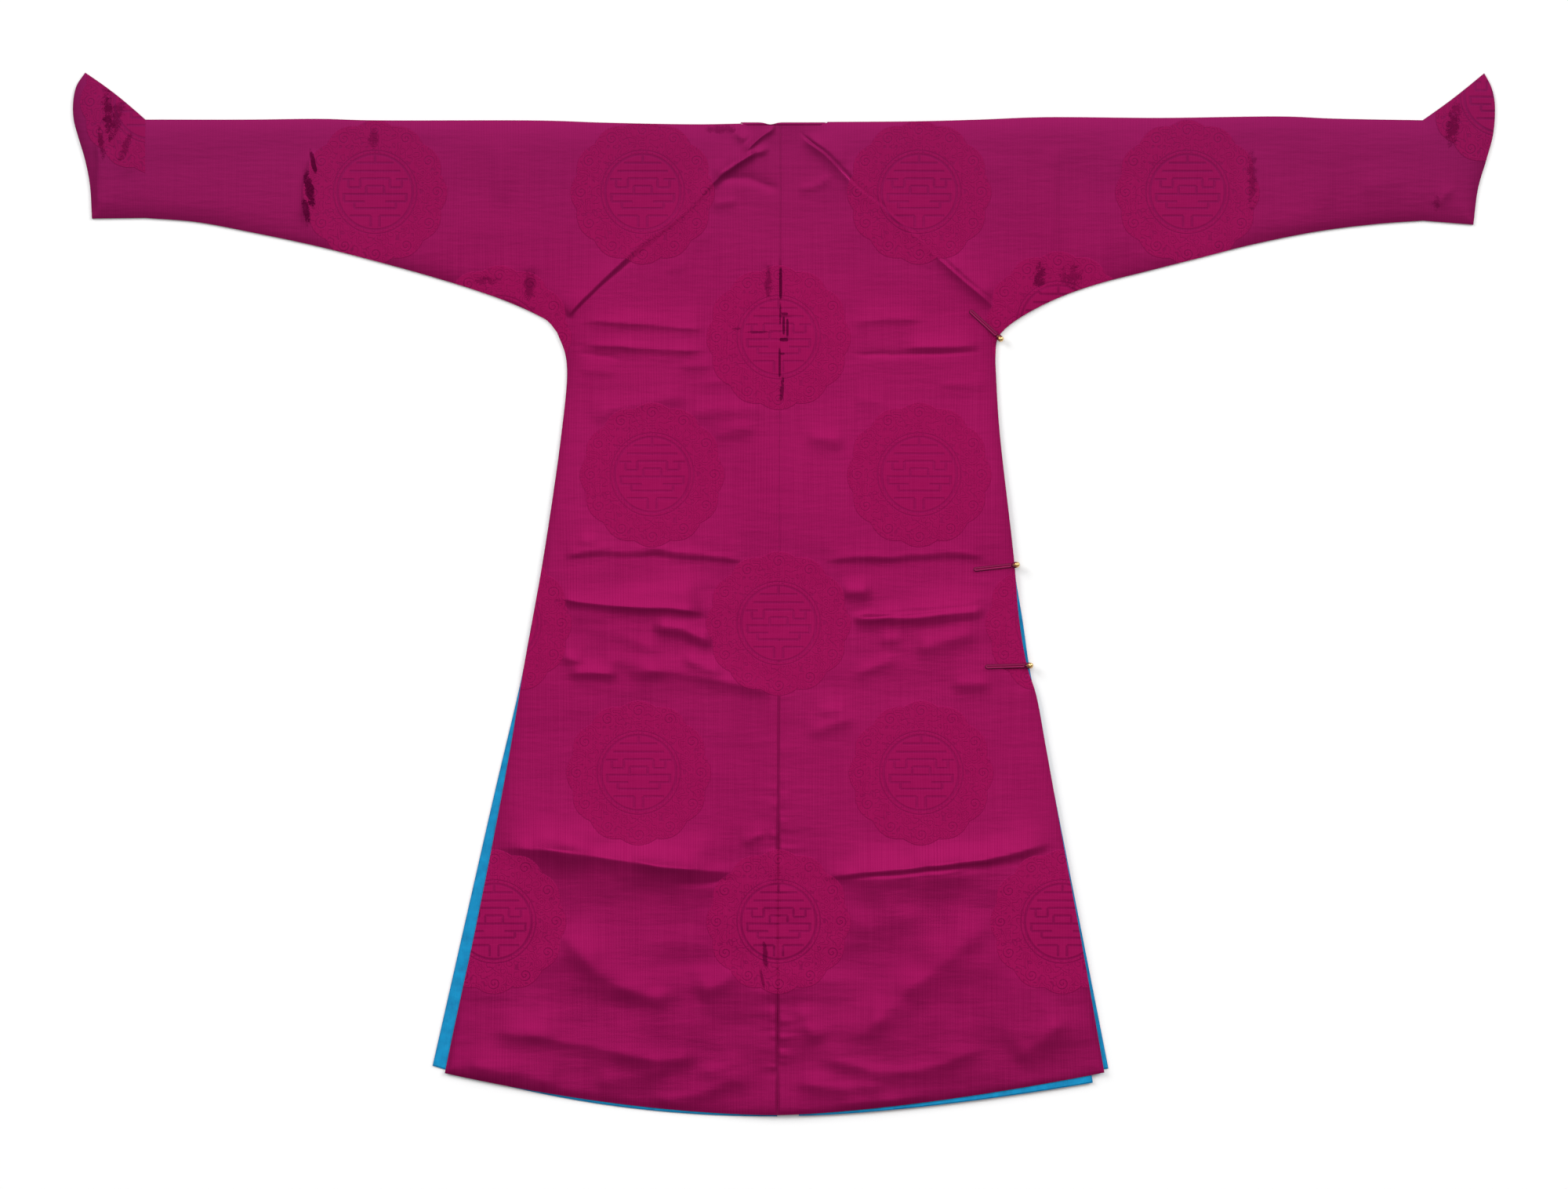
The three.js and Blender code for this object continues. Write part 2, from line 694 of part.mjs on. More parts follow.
// The part of the neck binding that shows along the back
function backBinding() {
  const reach = NECK.halfWidth - 3;
  const at = (drop) => (share) => new THREE.Vector2(mix(-reach, reach, share), drop);
  const lower = NECK.backDip - GAP;
  const [inner, outer] = [at(lower - NECK.bindingWidth), at(lower)];
  return new Pattern().grid(evenly(10).map((share) => [inner(share), outer(share)]));
}

// The part of the neck binding round the hole in the front, from shoulder to shoulder
function frontBinding() {
  const angles = evenly(NECK.sides).map((u) => (u * Math.PI) / 2).slice(0, -1);
  const ring = (inset) => {
    const left = neckEdge('front_left', centreSeam('left'), inset);
    const right = neckEdge('front_right', flapEdge, inset);
    const mirrored = angles.map((angle) => left(angle).multiply(new THREE.Vector2(-1, 1)));
    return [...mirrored.reverse(), ...angles.map(right)];
  };
  const [outer, inner] = [ring(NECK.clear), ring(NECK.clear + NECK.bindingWidth)];
  return new Pattern().grid(outer.map((p, i) => [inner[i], p]));
}

const atPlace = (out, drop, z) => new THREE.Vector3(out, SHOULDER_Y - drop, z);
const backTop = (out, drop) => backUnderside(out, drop) + CLOTH;

// Where a button sits: its middle, the cloth's top beside it, and the way to its cord and across
function buttonPlace({ drop, pastEdge, tailOut, tailDrop }) {
  const out = whereLine(lineThrough(SIDES.back_right.edge), 'y', drop).x + pastEdge;
  const inwards = new THREE.Vector3(tailOut - out, drop - tailDrop, 0).normalize();
  const across = new THREE.Vector3(-inwards.y, inwards.x, 0);
  const beside = atPlace(out, drop, 0).addScaledVector(inwards, LOOP.along);
  const top = backTop(beside.x, SHOULDER_Y - beside.y);
  return { middle: atPlace(out, drop, top + GAP + BALL_RADIUS), top, inwards, across };
}

// A gilt ball on a short shank, turned about the shank's axis
function button(row) {
  const { middle, inwards } = buttonPlace(row);
  const neck = Math.asin(SHANK.radius / BALL_RADIUS);
  const ball = evenly(7).map((share) => {
    const angle = mix(-Math.PI / 2, Math.PI / 2 - neck, share);
    return new THREE.Vector2(BALL_RADIUS * Math.cos(angle), BALL_RADIUS * Math.sin(angle));
  });
  ball[0].x = 0;
  const end = BALL_RADIUS + SHANK.length;
  const profile = [...ball, new THREE.Vector2(SHANK.radius, end), new THREE.Vector2(0, end)];
  const lean = (BALL_RADIUS - TAIL.radius) / end;
  const axis = inwards.clone().multiplyScalar(Math.sqrt(1 - lean ** 2)).setZ(-lean);
  const upright = new THREE.Vector3(0, 1, 0);
  return new THREE.LatheGeometry(profile, 12)
    .applyQuaternion(new THREE.Quaternion().setFromUnitVectors(upright, axis))
    .translate(middle.x, middle.y, middle.z);
}

// A round cord through the given points
function cordAlong(points, radius, steps) {
  const angles = evenly(CORD_SIDES).slice(0, -1).map((share) => 2 * Math.PI * share);
  const section = angles.map((a) => new THREE.Vector2(radius * Math.cos(a), radius * Math.sin(a)));
  const extrudePath = new THREE.CatmullRomCurve3(points, false, 'centripetal');
  return new THREE.ExtrudeGeometry(new THREE.Shape(section), { steps, extrudePath, bevelEnabled: false });
}

// The doubled cord that sews a button down: out along one side, round the far end and back
function tail(row) {
  const { middle, inwards, across } = buttonPlace(row);
  const start = BALL_RADIUS + SHANK.length + TAIL.radius;
  const length = atPlace(row.tailOut, row.tailDrop, middle.z).distanceTo(middle) - TAIL.spread;
  const on = (along, aside) => {
    const p = middle.clone().addScaledVector(inwards, along).addScaledVector(across, aside);
    p.z = backTop(p.x, SHOULDER_Y - p.y) + GAP + TAIL.radius;
    return p;
  };
  const run = evenly(4).map((share) => mix(start, length, share));
  const turn = [-60, -30, 0, 30, 60].map((degrees) => {
    const angle = THREE.MathUtils.degToRad(degrees);
    return on(length + TAIL.spread * Math.cos(angle), TAIL.spread * Math.sin(angle));
  });
  const points = [
    ...run.map((along) => on(along, -TAIL.spread)),
    ...turn,
    ...run.reverse().map((along) => on(along, TAIL.spread)),
  ];
  return cordAlong(points, TAIL.radius, 34);
}

// The overlap's loop, from beside the sheet it is sewn to, up and over the button's shank
function loop(row) {
  const { middle, top, inwards, across } = buttonPlace(row);
  const foot = (row.drop > LINING_TOP ? 2 * LAYER : 0) + LAYER;
  const at = (along, aside, height) =>
    middle.clone().addScaledVector(inwards, along).addScaledVector(across, aside).setZ(height);
  const arm = (side) => [
    at(row.pastEdge + LOOP_ARM[0].inside, side * LOOP_ARM[0].aside, foot),
    ...LOOP_ARM.map(({ inside, aside, height }) =>
      at(row.pastEdge + inside, side * aside, top + height),
    ),
  ];
  const arch = [0, 30, 60, 90, 120, 150, 180].map((degrees) => {
    const angle = THREE.MathUtils.degToRad(degrees);
    const height = LOOP.height + LOOP.archHeight * Math.sin(angle);
    return at(LOOP.along, LOOP.reach * Math.cos(angle), top + height);
  });
  return cordAlong([...arm(1), ...arch, ...arm(-1).reverse()], LOOP.radius, 20);
}

const silk = new THREE.MeshStandardMaterial({ color: 0x9c1f58, roughness: 0.42, metalness: 0 });
const cordSilk = new THREE.MeshStandardMaterial({ color: 0x7a1245, roughness: 0.5, metalness: 0 });
const blueSilk = new THREE.MeshStandardMaterial({ color: 0x0e86b9, roughness: 0.5, metalness: 0 });
const gilt = new THREE.MeshStandardMaterial({ color: 0xd8ae6c, roughness: 0.3, metalness: 1 });

const robe = new THREE.Group();

function add(name, geometry, material) {
  const mesh = new THREE.Mesh(geometry, material);
  mesh.name = name;
  robe.add(mesh);
}

const onGround = () => 0;

add('front_left', wall(frontPattern('front_left', centreSeam('left')), onGround), silk);
add('overlap', wall(overlapPattern(), onGround), silk);
add('lining_left', wall(liningPattern('front_left', centreSeam('left')), () => LAYER), blueSilk);
add('lining_overlap', wall(liningPattern('overlap', centreSeam('right')), () => LAYER), blueSilk);
add('front_right', wall(frontPattern('front_right', flapEdge), rightFrontUnderside), silk);
add('lining_right', wall(liningPattern('front_right', flapEdge), () => 3 * LAYER), blueSilk);
for (const half of ['left', 'right']) {
  add(`back_${half}`, wall(backPattern(half), backUnderside), silk);
  add(`sleeve_${half}_front`, wall(sleevePattern(half, PLAIN), onGround), silk);
  add(`sleeve_${half}_back`, wall(sleevePattern(half, FINE), backUnderside), silk);
  add(`cuff_${half}_front`, wall(cuffPattern(half, PLAIN), onGround), silk);
  add(`cuff_${half}_back`, wall(cuffPattern(half, FINE), backUnderside), silk);
}
add('neck_binding_back', wall(backBinding(), (x, drop) => LAYER * sheetsUnderBack(x, drop)), silk);
add('neck_binding_front', wall(frontBinding(), onGround), silk);
BUTTONS.forEach((row, i) => {
  add(`button_${i + 1}`, button(row), gilt);
  add(`tail_${i + 1}`, tail(row), cordSilk);
  add(`loop_${i + 1}`, loop(row), cordSilk);
});

export default robe;
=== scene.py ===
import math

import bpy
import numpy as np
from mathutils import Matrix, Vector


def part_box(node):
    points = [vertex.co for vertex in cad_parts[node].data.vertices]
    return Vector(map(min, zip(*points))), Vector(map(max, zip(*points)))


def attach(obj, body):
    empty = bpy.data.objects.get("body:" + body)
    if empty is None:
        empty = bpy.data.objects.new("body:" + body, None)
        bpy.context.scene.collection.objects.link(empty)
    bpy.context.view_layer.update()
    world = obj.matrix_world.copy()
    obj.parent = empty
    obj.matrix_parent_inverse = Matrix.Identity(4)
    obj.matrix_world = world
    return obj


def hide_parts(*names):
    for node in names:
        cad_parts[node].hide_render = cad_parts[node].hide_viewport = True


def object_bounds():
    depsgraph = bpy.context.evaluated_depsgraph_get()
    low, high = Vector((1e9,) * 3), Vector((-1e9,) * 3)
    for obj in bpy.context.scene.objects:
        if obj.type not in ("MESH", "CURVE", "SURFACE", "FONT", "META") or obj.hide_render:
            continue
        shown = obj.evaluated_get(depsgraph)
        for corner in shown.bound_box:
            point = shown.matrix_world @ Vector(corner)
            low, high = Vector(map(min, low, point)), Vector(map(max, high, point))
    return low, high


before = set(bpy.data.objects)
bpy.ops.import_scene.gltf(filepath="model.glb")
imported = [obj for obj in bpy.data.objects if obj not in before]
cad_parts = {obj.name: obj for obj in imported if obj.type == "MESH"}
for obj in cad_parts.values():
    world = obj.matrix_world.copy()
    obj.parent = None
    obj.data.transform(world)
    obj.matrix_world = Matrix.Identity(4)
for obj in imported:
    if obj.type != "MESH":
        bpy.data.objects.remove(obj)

# %% [markdown]
# A man's long robe of magenta silk damask, laid out flat on its front so that its back shows. The
# sleeves are cut in one with the body and lengthened at two seams, the cuffs flare like hooves, and
# three doubled cords with gilt ball buttons close the wearer's right side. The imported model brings
# every piece as a plain solid in metres. Each cell below replaces some of them with finer cloth.

cad_box = [list(corner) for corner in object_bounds()]
print("the frame's box, in metres:", np.round(cad_box, 4).tolist())

# %% [markdown]
# A garment is drafted flat, so this file works as a cutter does: x runs to the right of the middle
# and "drop" runs down from the shoulder line, both in millimetres. Only the last step, making a
# mesh, turns them into the frame's metres. The shoulder line's height comes from the frame's box,
# because the tip of the left cuff is the highest place on the page.

# %% Sizes
MM = 0.001
CLOTH = 1.0
LAYER = 1.3
AIR, LEAST_AIR = 2.4, 0.25
EDGE_ROLL = 14.0
HEM_ROLL, HEM_REACH, HEM_SHARE = 4.0, 60.0, 0.75
HEM_BEGINS = (1290, 1400)
BODY_LENGTH = 1471.0
SEAM_OFFSET = 5.0
CUFF_TIP_RISE = 73.0
SHOULDER_Y = cad_box[1][1] / MM - CUFF_TIP_RISE
SLEEVE_SEAM = 694.0
CUFF_SEAM = 945.0
HALF_GAP = 0.02
LINING_TOP = 590.0
LINING_INSET = 1.5
LINING_EASE = 220.0
FLAP_EASE = (-120, 10)
SLEEVE_ENDS = 450.0
OVERLAP_FADES = (345, 430)
NECK_HALF_WIDTH = 64.0
NECK_DEPTH = 75.0
NECK_DIP = 5.0
BINDING_WIDTH, BINDING_ARCH, BINDING_CLEAR = 4.0, 0.5, 0.4
SIGN = {"left": -1, "right": 1}


def place(x, drop, z):
    """Points in the frame, in metres: x stays, the drop runs down from the shoulder line, z is up."""
    return np.stack(np.broadcast_arrays(x, SHOULDER_Y - drop, z), -1) * MM


def smooth(low, high, value):
    """0 below low, 1 above high, and the curve 3t^2 - 2t^3 in between."""
    t = np.clip((value - low) / (high - low), 0, 1)
    return t * t * (3 - 2 * t)


def in_scene(name, data):
    """A new object with this data, linked into the scene."""
    new = bpy.data.objects.new(name, data)
    bpy.context.scene.collection.objects.link(new)
    return new


print("the shoulder line lies at y =", round(SHOULDER_Y * MM, 4), "m")

# %% [markdown]
# A cutter joins a few measured points with a smooth line, using a bent spline. A Catmull-Rom curve
# does the same: it passes through every point, and with centripetal knots it doesn't loop where the
# points are uneven. Working it out for a whole array of shares at once keeps it fast.

# %% Smooth lines through a few points
def curve_through(rows):
    """A centripetal Catmull-Rom curve as a function of shares from 0 to 1. Each stretch blends the
    lines through its four nearest points, weighted by knots that grow as the root of the distance."""
    p = np.array(rows, float)
    p = np.vstack([2 * p[0] - p[1], p, 2 * p[-1] - p[-2]])
    steps = np.sqrt(np.linalg.norm(np.diff(p, axis=0), axis=1))
    knot = np.concatenate([[0], np.cumsum(steps)])

    def at(share):
        """The points at the given shares."""
        position = np.clip(np.atleast_1d(share), 0, 1) * (len(p) - 3)
        i = np.minimum(position.astype(int), len(p) - 4)
        t = (knot[i + 1] + (position - i) * (knot[i + 2] - knot[i + 1]))[:, None]
        k = [knot[i + j][:, None] for j in range(4)]
        a = [((k[j + 1] - t) * p[i + j] + (t - k[j]) * p[i + j + 1]) / (k[j + 1] - k[j]) for j in range(3)]
        b = [((k[j + 2] - t) * a[j] + (t - k[j]) * a[j + 1]) / (k[j + 2] - k[j]) for j in range(2)]
        return ((k[2] - t) * b[0] + (t - k[1]) * b[1]) / (k[2] - k[1])

    return at


def where(curve, axis, values):
    """The points where a curve that runs one way along an axis reaches the given values."""
    dense = curve(np.linspace(0, 1, 3001))
    dense = dense[np.argsort(dense[:, axis])]
    return np.column_stack([np.interp(values, dense[:, axis], dense[:, k]) for k in (0, 1)])


def straight(a, b, share):
    """Points on the straight line from a to b."""
    return np.asarray(a) + (np.asarray(b) - np.asarray(a)) * np.atleast_1d(share)[:, None]


print("a curve through three points:", curve_through([(0, 0), (10, 4), (20, 0)])(0.5).round(2).tolist())

# %% [markdown]
# The robe isn't quite even, so each half has its own lines. Each row of a table is a pair: how far
# out from the middle, and the drop. The left half is the left of the picture, which is the wearer's
# left, and is mirrored when it is cut.

# %% Outlines of the two halves
SHOULDER = {
    "left": [(64, 2.5), (128, 3.5), (267, 1), (354, -2), (615, -2.5), (684, -4.5), (789, -3.5), (945, -3.5)],
    "right": [(64, 0), (197, -1), (290, -3.5), (383, -7), (557, -6), (742, -8), (812, -5), (945, -2.5)],
}
UNDERSIDE = {
    "left": [(336, 311), (349, 295), (364, 286), (406, 267), (462, 247), (531, 226),
             (615, 203), (694, 183), (789, 163), (870, 148), (945, 142)],
    "right": [(327, 306), (341, 295), (369, 278), (411, 258), (466, 239), (536, 221),
              (615, 201), (694, 181), (789, 162), (876, 151), (945, 146)],
}
CREASE_TO_UNDERARM = {
    "left": [(22, 8), (98, 70), (162, 139), (313, 283), (336, 311)],
    "right": [(22, 8), (87, 75), (174, 157), (308, 281), (327, 306)],
}
CUFF_EDGE = {
    "left": [(1034, -73), (1047, -53), (1052, -28), (1051, -3), (1045, 20), (1034, 57), (1027, 94),
             (1024, 143)],
    "right": [(1036, -72), (1046, -53), (1051, -34), (1052, -11), (1049, 20), (1039, 57), (1027, 98),
              (1020, 152)],
}
CUFF_BOW = {"left": 3, "right": -2}
SIDE_OF_FRONT_LEFT = [(336, 311), (324, 342), (321, 372), (329, 458), (356, 644), (385, 806)]
SIDE_OF_FRONT_RIGHT = [(327, 306), (316, 320), (313, 345), (314, 380), (319, 458), (340, 644), (348, 737)]
SIDES = {
    "back_left": SIDE_OF_FRONT_LEFT + [(404, 922), (430, 1061), (458, 1201), (488, 1340), (502, 1407)],
    "back_right": SIDE_OF_FRONT_RIGHT
    + [(360, 806), (373, 847), (387, 922), (412, 1061), (438, 1201), (474, 1406)],
    "front_left": SIDE_OF_FRONT_LEFT + [(430, 1000), (520, 1396)],
    "front_right": SIDE_OF_FRONT_RIGHT + [(355, 806), (457, 1421)],
    "overlap": [(308, 338), (312, 380), (317, 458), (338, 644), (353, 737), (363, 806),
                (386, 922), (427, 1131), (441, 1201), (480, 1400)],
}
HEM_MIDDLE = {"back_left": 1469, "back_right": 1469, "front_left": 1471, "front_right": 1470, "overlap": 1460}
HEM_BEND = {"back_left": 1.75, "back_right": 1.5, "front_left": 2.1, "front_right": 1.5, "overlap": 1.5}
OVERLAP_TOP = [(-5, 77), (62, 90), (132, 124), (205, 196), (265, 276), (308, 338)]

shoulder = {half: curve_through(rows) for half, rows in SHOULDER.items()}
underside = {half: curve_through(rows) for half, rows in UNDERSIDE.items()}
crease = {half: curve_through(rows) for half, rows in CREASE_TO_UNDERARM.items()}
cuff_edge = {half: curve_through(rows) for half, rows in CUFF_EDGE.items()}
side = {name: curve_through(rows) for name, rows in SIDES.items()}


def cuff_top(half, share):
    """The cuff's folded upper edge: a straight line to its tip, bowed by a sine."""
    line = straight(shoulder[half](1)[0], cuff_edge[half](0)[0], share)
    line[:, 1] -= CUFF_BOW[half] * np.sin(math.pi * np.atleast_1d(share))
    return line


def hem(name, from_out, share):
    """A hem from the middle to its corner: the drop changes as a power of the way across."""
    corner = SIDES[name][-1]
    out = from_out + (corner[0] - from_out) * share
    return np.column_stack([out, HEM_MIDDLE[name] + (corner[1] - HEM_MIDDLE[name]) * share ** HEM_BEND[name]])


def centre_seam(drop):
    """How far left of the middle the centre seam lies: 5 mm at the shoulders, 10 mm at the hem."""
    return SEAM_OFFSET + SEAM_OFFSET * np.asarray(drop) / BODY_LENGTH


def left_seam(drop):
    """How far out the left half begins at the centre seam."""
    return centre_seam(drop) + HALF_GAP


def right_seam(drop):
    """How far out the right half begins at the centre seam."""
    return HALF_GAP - centre_seam(drop)


def flap_edge(drop):
    """How far out the inner flap's free edge lies: 18 mm at the shoulders, 22 mm at the hem."""
    return 18 + 4 * np.asarray(drop) / BODY_LENGTH


MIDDLE = {"left": left_seam, "right": right_seam}
print("lines drawn for", len(SIDES), "panels")

# %% [markdown]
# A pattern piece is a patch between four lines. A Coons patch fills it: add the two surfaces that
# run straight between opposite lines, and take away the one that runs straight between the corners.
# The grid may be closer in some places, so the steps are worked out from a wanted step length.

# %% Patches between four lines
def coons(first, last, top, bottom, across, down):
    """The grid between four lines: first and last run down, top and bottom run across."""
    u, v = across[None, :, None], down[:, None, None]
    sides = first[:, None] * (1 - u) + last[:, None] * u
    ends = top[None] * (1 - v) + bottom[None] * v
    corners = (top[0] * (1 - v) + bottom[0] * v) * (1 - u) + (top[-1] * (1 - v) + bottom[-1] * v) * u
    return sides + ends - corners


def steps_to(length, step_at):
    """Places from 0 to a length whose steps follow step_at(place), the wanted step there."""
    fine = np.linspace(0, length, 4000)
    count = np.concatenate([[0], np.cumsum(np.diff(fine) / step_at((fine[1:] + fine[:-1]) / 2))])
    return np.interp(np.linspace(0, count[-1], int(round(count[-1])) + 1), count, fine)


def shares(length, start, middle, end, reach):
    """Shares from 0 to 1 whose steps grow from "start" to "middle" over a reach, and end with "end"."""
    def step_at(x):
        """The wanted step at a place."""
        return middle - (middle - start) * np.exp(-x / reach) - (middle - end) * np.exp(-(length - x) / reach)

    return steps_to(length, step_at) / length


print("a fine-edged row has", len(shares(350, 1.6, 5.2, 1.5, 14)), "points")

# %% [markdown]
# Real cloth rolls down at every edge, so the back's lift fades towards its outline. That needs the
# distance from each point to the outline, and a crease needs its distance from a line and its side.
# One function gives both, for all points and all stretches of the line at once. Along the hem the
# lift comes back in two steps, a small tight roll and a long slow rise.

# %% Distance from a line
def beside(points, line, chunk=4000):
    """For each point: the share of the line's length at its nearest place, and its distance, which
    is positive to the right of the way the line runs on the page, found from the cross product."""
    start, step = line[:-1], np.diff(line, axis=0)
    length = np.linalg.norm(step, axis=1)
    before = np.concatenate([[0], np.cumsum(length)])
    runs, away = [], []
    for part in np.array_split(points, max(1, len(points) // chunk)):
        offset = part[:, None] - start[None]
        share = np.clip((offset * step).sum(2) / length**2, 0, 1)
        rest = offset - share[..., None] * step
        distance = np.linalg.norm(rest, axis=2)
        row, best = np.arange(len(part)), distance.argmin(1)
        turn = step[best, 0] * rest[row, best, 1] - step[best, 1] * rest[row, best, 0]
        runs.append((before[best] + share[row, best] * length[best]) / before[-1])
        away.append(np.where(turn < 0, -1, 1) * distance[row, best])
    return np.concatenate(runs), np.concatenate(away)


def outline(half):
    """The outline of one half of the back, from the neck round the cuff and the side to the hem. Its
    points are moved by a millionth each, so that no stretch between equal corners has no length."""
    s = np.linspace(0, 1, 41)
    bottom = straight(underside[half](1)[0], cuff_edge[half](1)[0], s)
    back = f"back_{half}"
    lines = [shoulder[half](s), cuff_top(half, s), cuff_edge[half](s), bottom[::-1], underside[half](s)[::-1],
             side[back](s), hem(back, 0, s)[::-1]]
    return np.vstack(lines) + np.linspace(0, 1e-6, 7 * 41)[:, None]


outlines = {half: outline(half) for half in SIGN}


def edge_roll(half, points):
    """0 at the outline, rising to 1 inside as 1 - exp(-distance / roll). Near the hem a share of the
    rise is in a small tight roll, and the rest is spread over a long way."""
    away = np.abs(beside(points, outlines[half])[1])
    at_hem = 1 - HEM_SHARE * np.exp(-away / HEM_ROLL) - (1 - HEM_SHARE) * np.exp(-away / HEM_REACH)
    near_hem = smooth(*HEM_BEGINS, points[:, 1])
    return (1 - near_hem) * (1 - np.exp(-away / EDGE_ROLL)) + near_hem * at_hem


print("outline points of each half:", len(outlines["left"]))

# %% [markdown]
# Nothing in worn cloth is even. The unevenness here is seeded noise, so it is the same in each run:
# random heights on a grid of places, joined smoothly. Each use has its own grid steps and its own
# seed, and the grid covers the whole robe with a margin.

# %% Seeded unevenness
FIELD_LEFT, FIELD_TOP = 1200, 150
FIELD_WIDTH, FIELD_LENGTH = 2400, 1700


def uneven(points, across, down, seed):
    """Seeded smooth noise between -1 and 1: random heights on a grid of the given steps, in
    millimetres, joined by 3t^2 - 2t^3, and a second grid at half the steps and half the height."""
    random = np.random.default_rng(seed)
    total = np.zeros(len(points))
    for octave in (1, 2):
        columns = int(FIELD_WIDTH * octave / across) + 3
        rows = int(FIELD_LENGTH * octave / down) + 3
        heights = random.uniform(-1, 1, (rows, columns))
        x = np.clip((points[:, 0] + FIELD_LEFT) * octave / across, 0, columns - 1.001)
        y = np.clip((points[:, 1] + FIELD_TOP) * octave / down, 0, rows - 1.001)
        i, j = x.astype(int), y.astype(int)
        s, t = smooth(0, 1, x - i), smooth(0, 1, y - j)
        upper = heights[j, i] * (1 - s) + heights[j, i + 1] * s
        lower = heights[j + 1, i] * (1 - s) + heights[j + 1, i + 1] * s
        total += (upper * (1 - t) + lower * t) / octave
    return total / 1.5


print("unevenness at two points:", uneven(np.array([[0.0, 0], [50, 40]]), 90, 60, 1).round(2).tolist())

# %% [markdown]
# Silk that has been folded away keeps its creases. Each is a row here: its height in millimetres,
# how far it spreads on the shoulders' side and on the hem's side, how rounded its crest is, how much
# of its length fades out at each end, and the points that it runs through, from left to right. A low
# wide spread is a soft swell and a short one is a sharp pinch. A negative height is a groove.

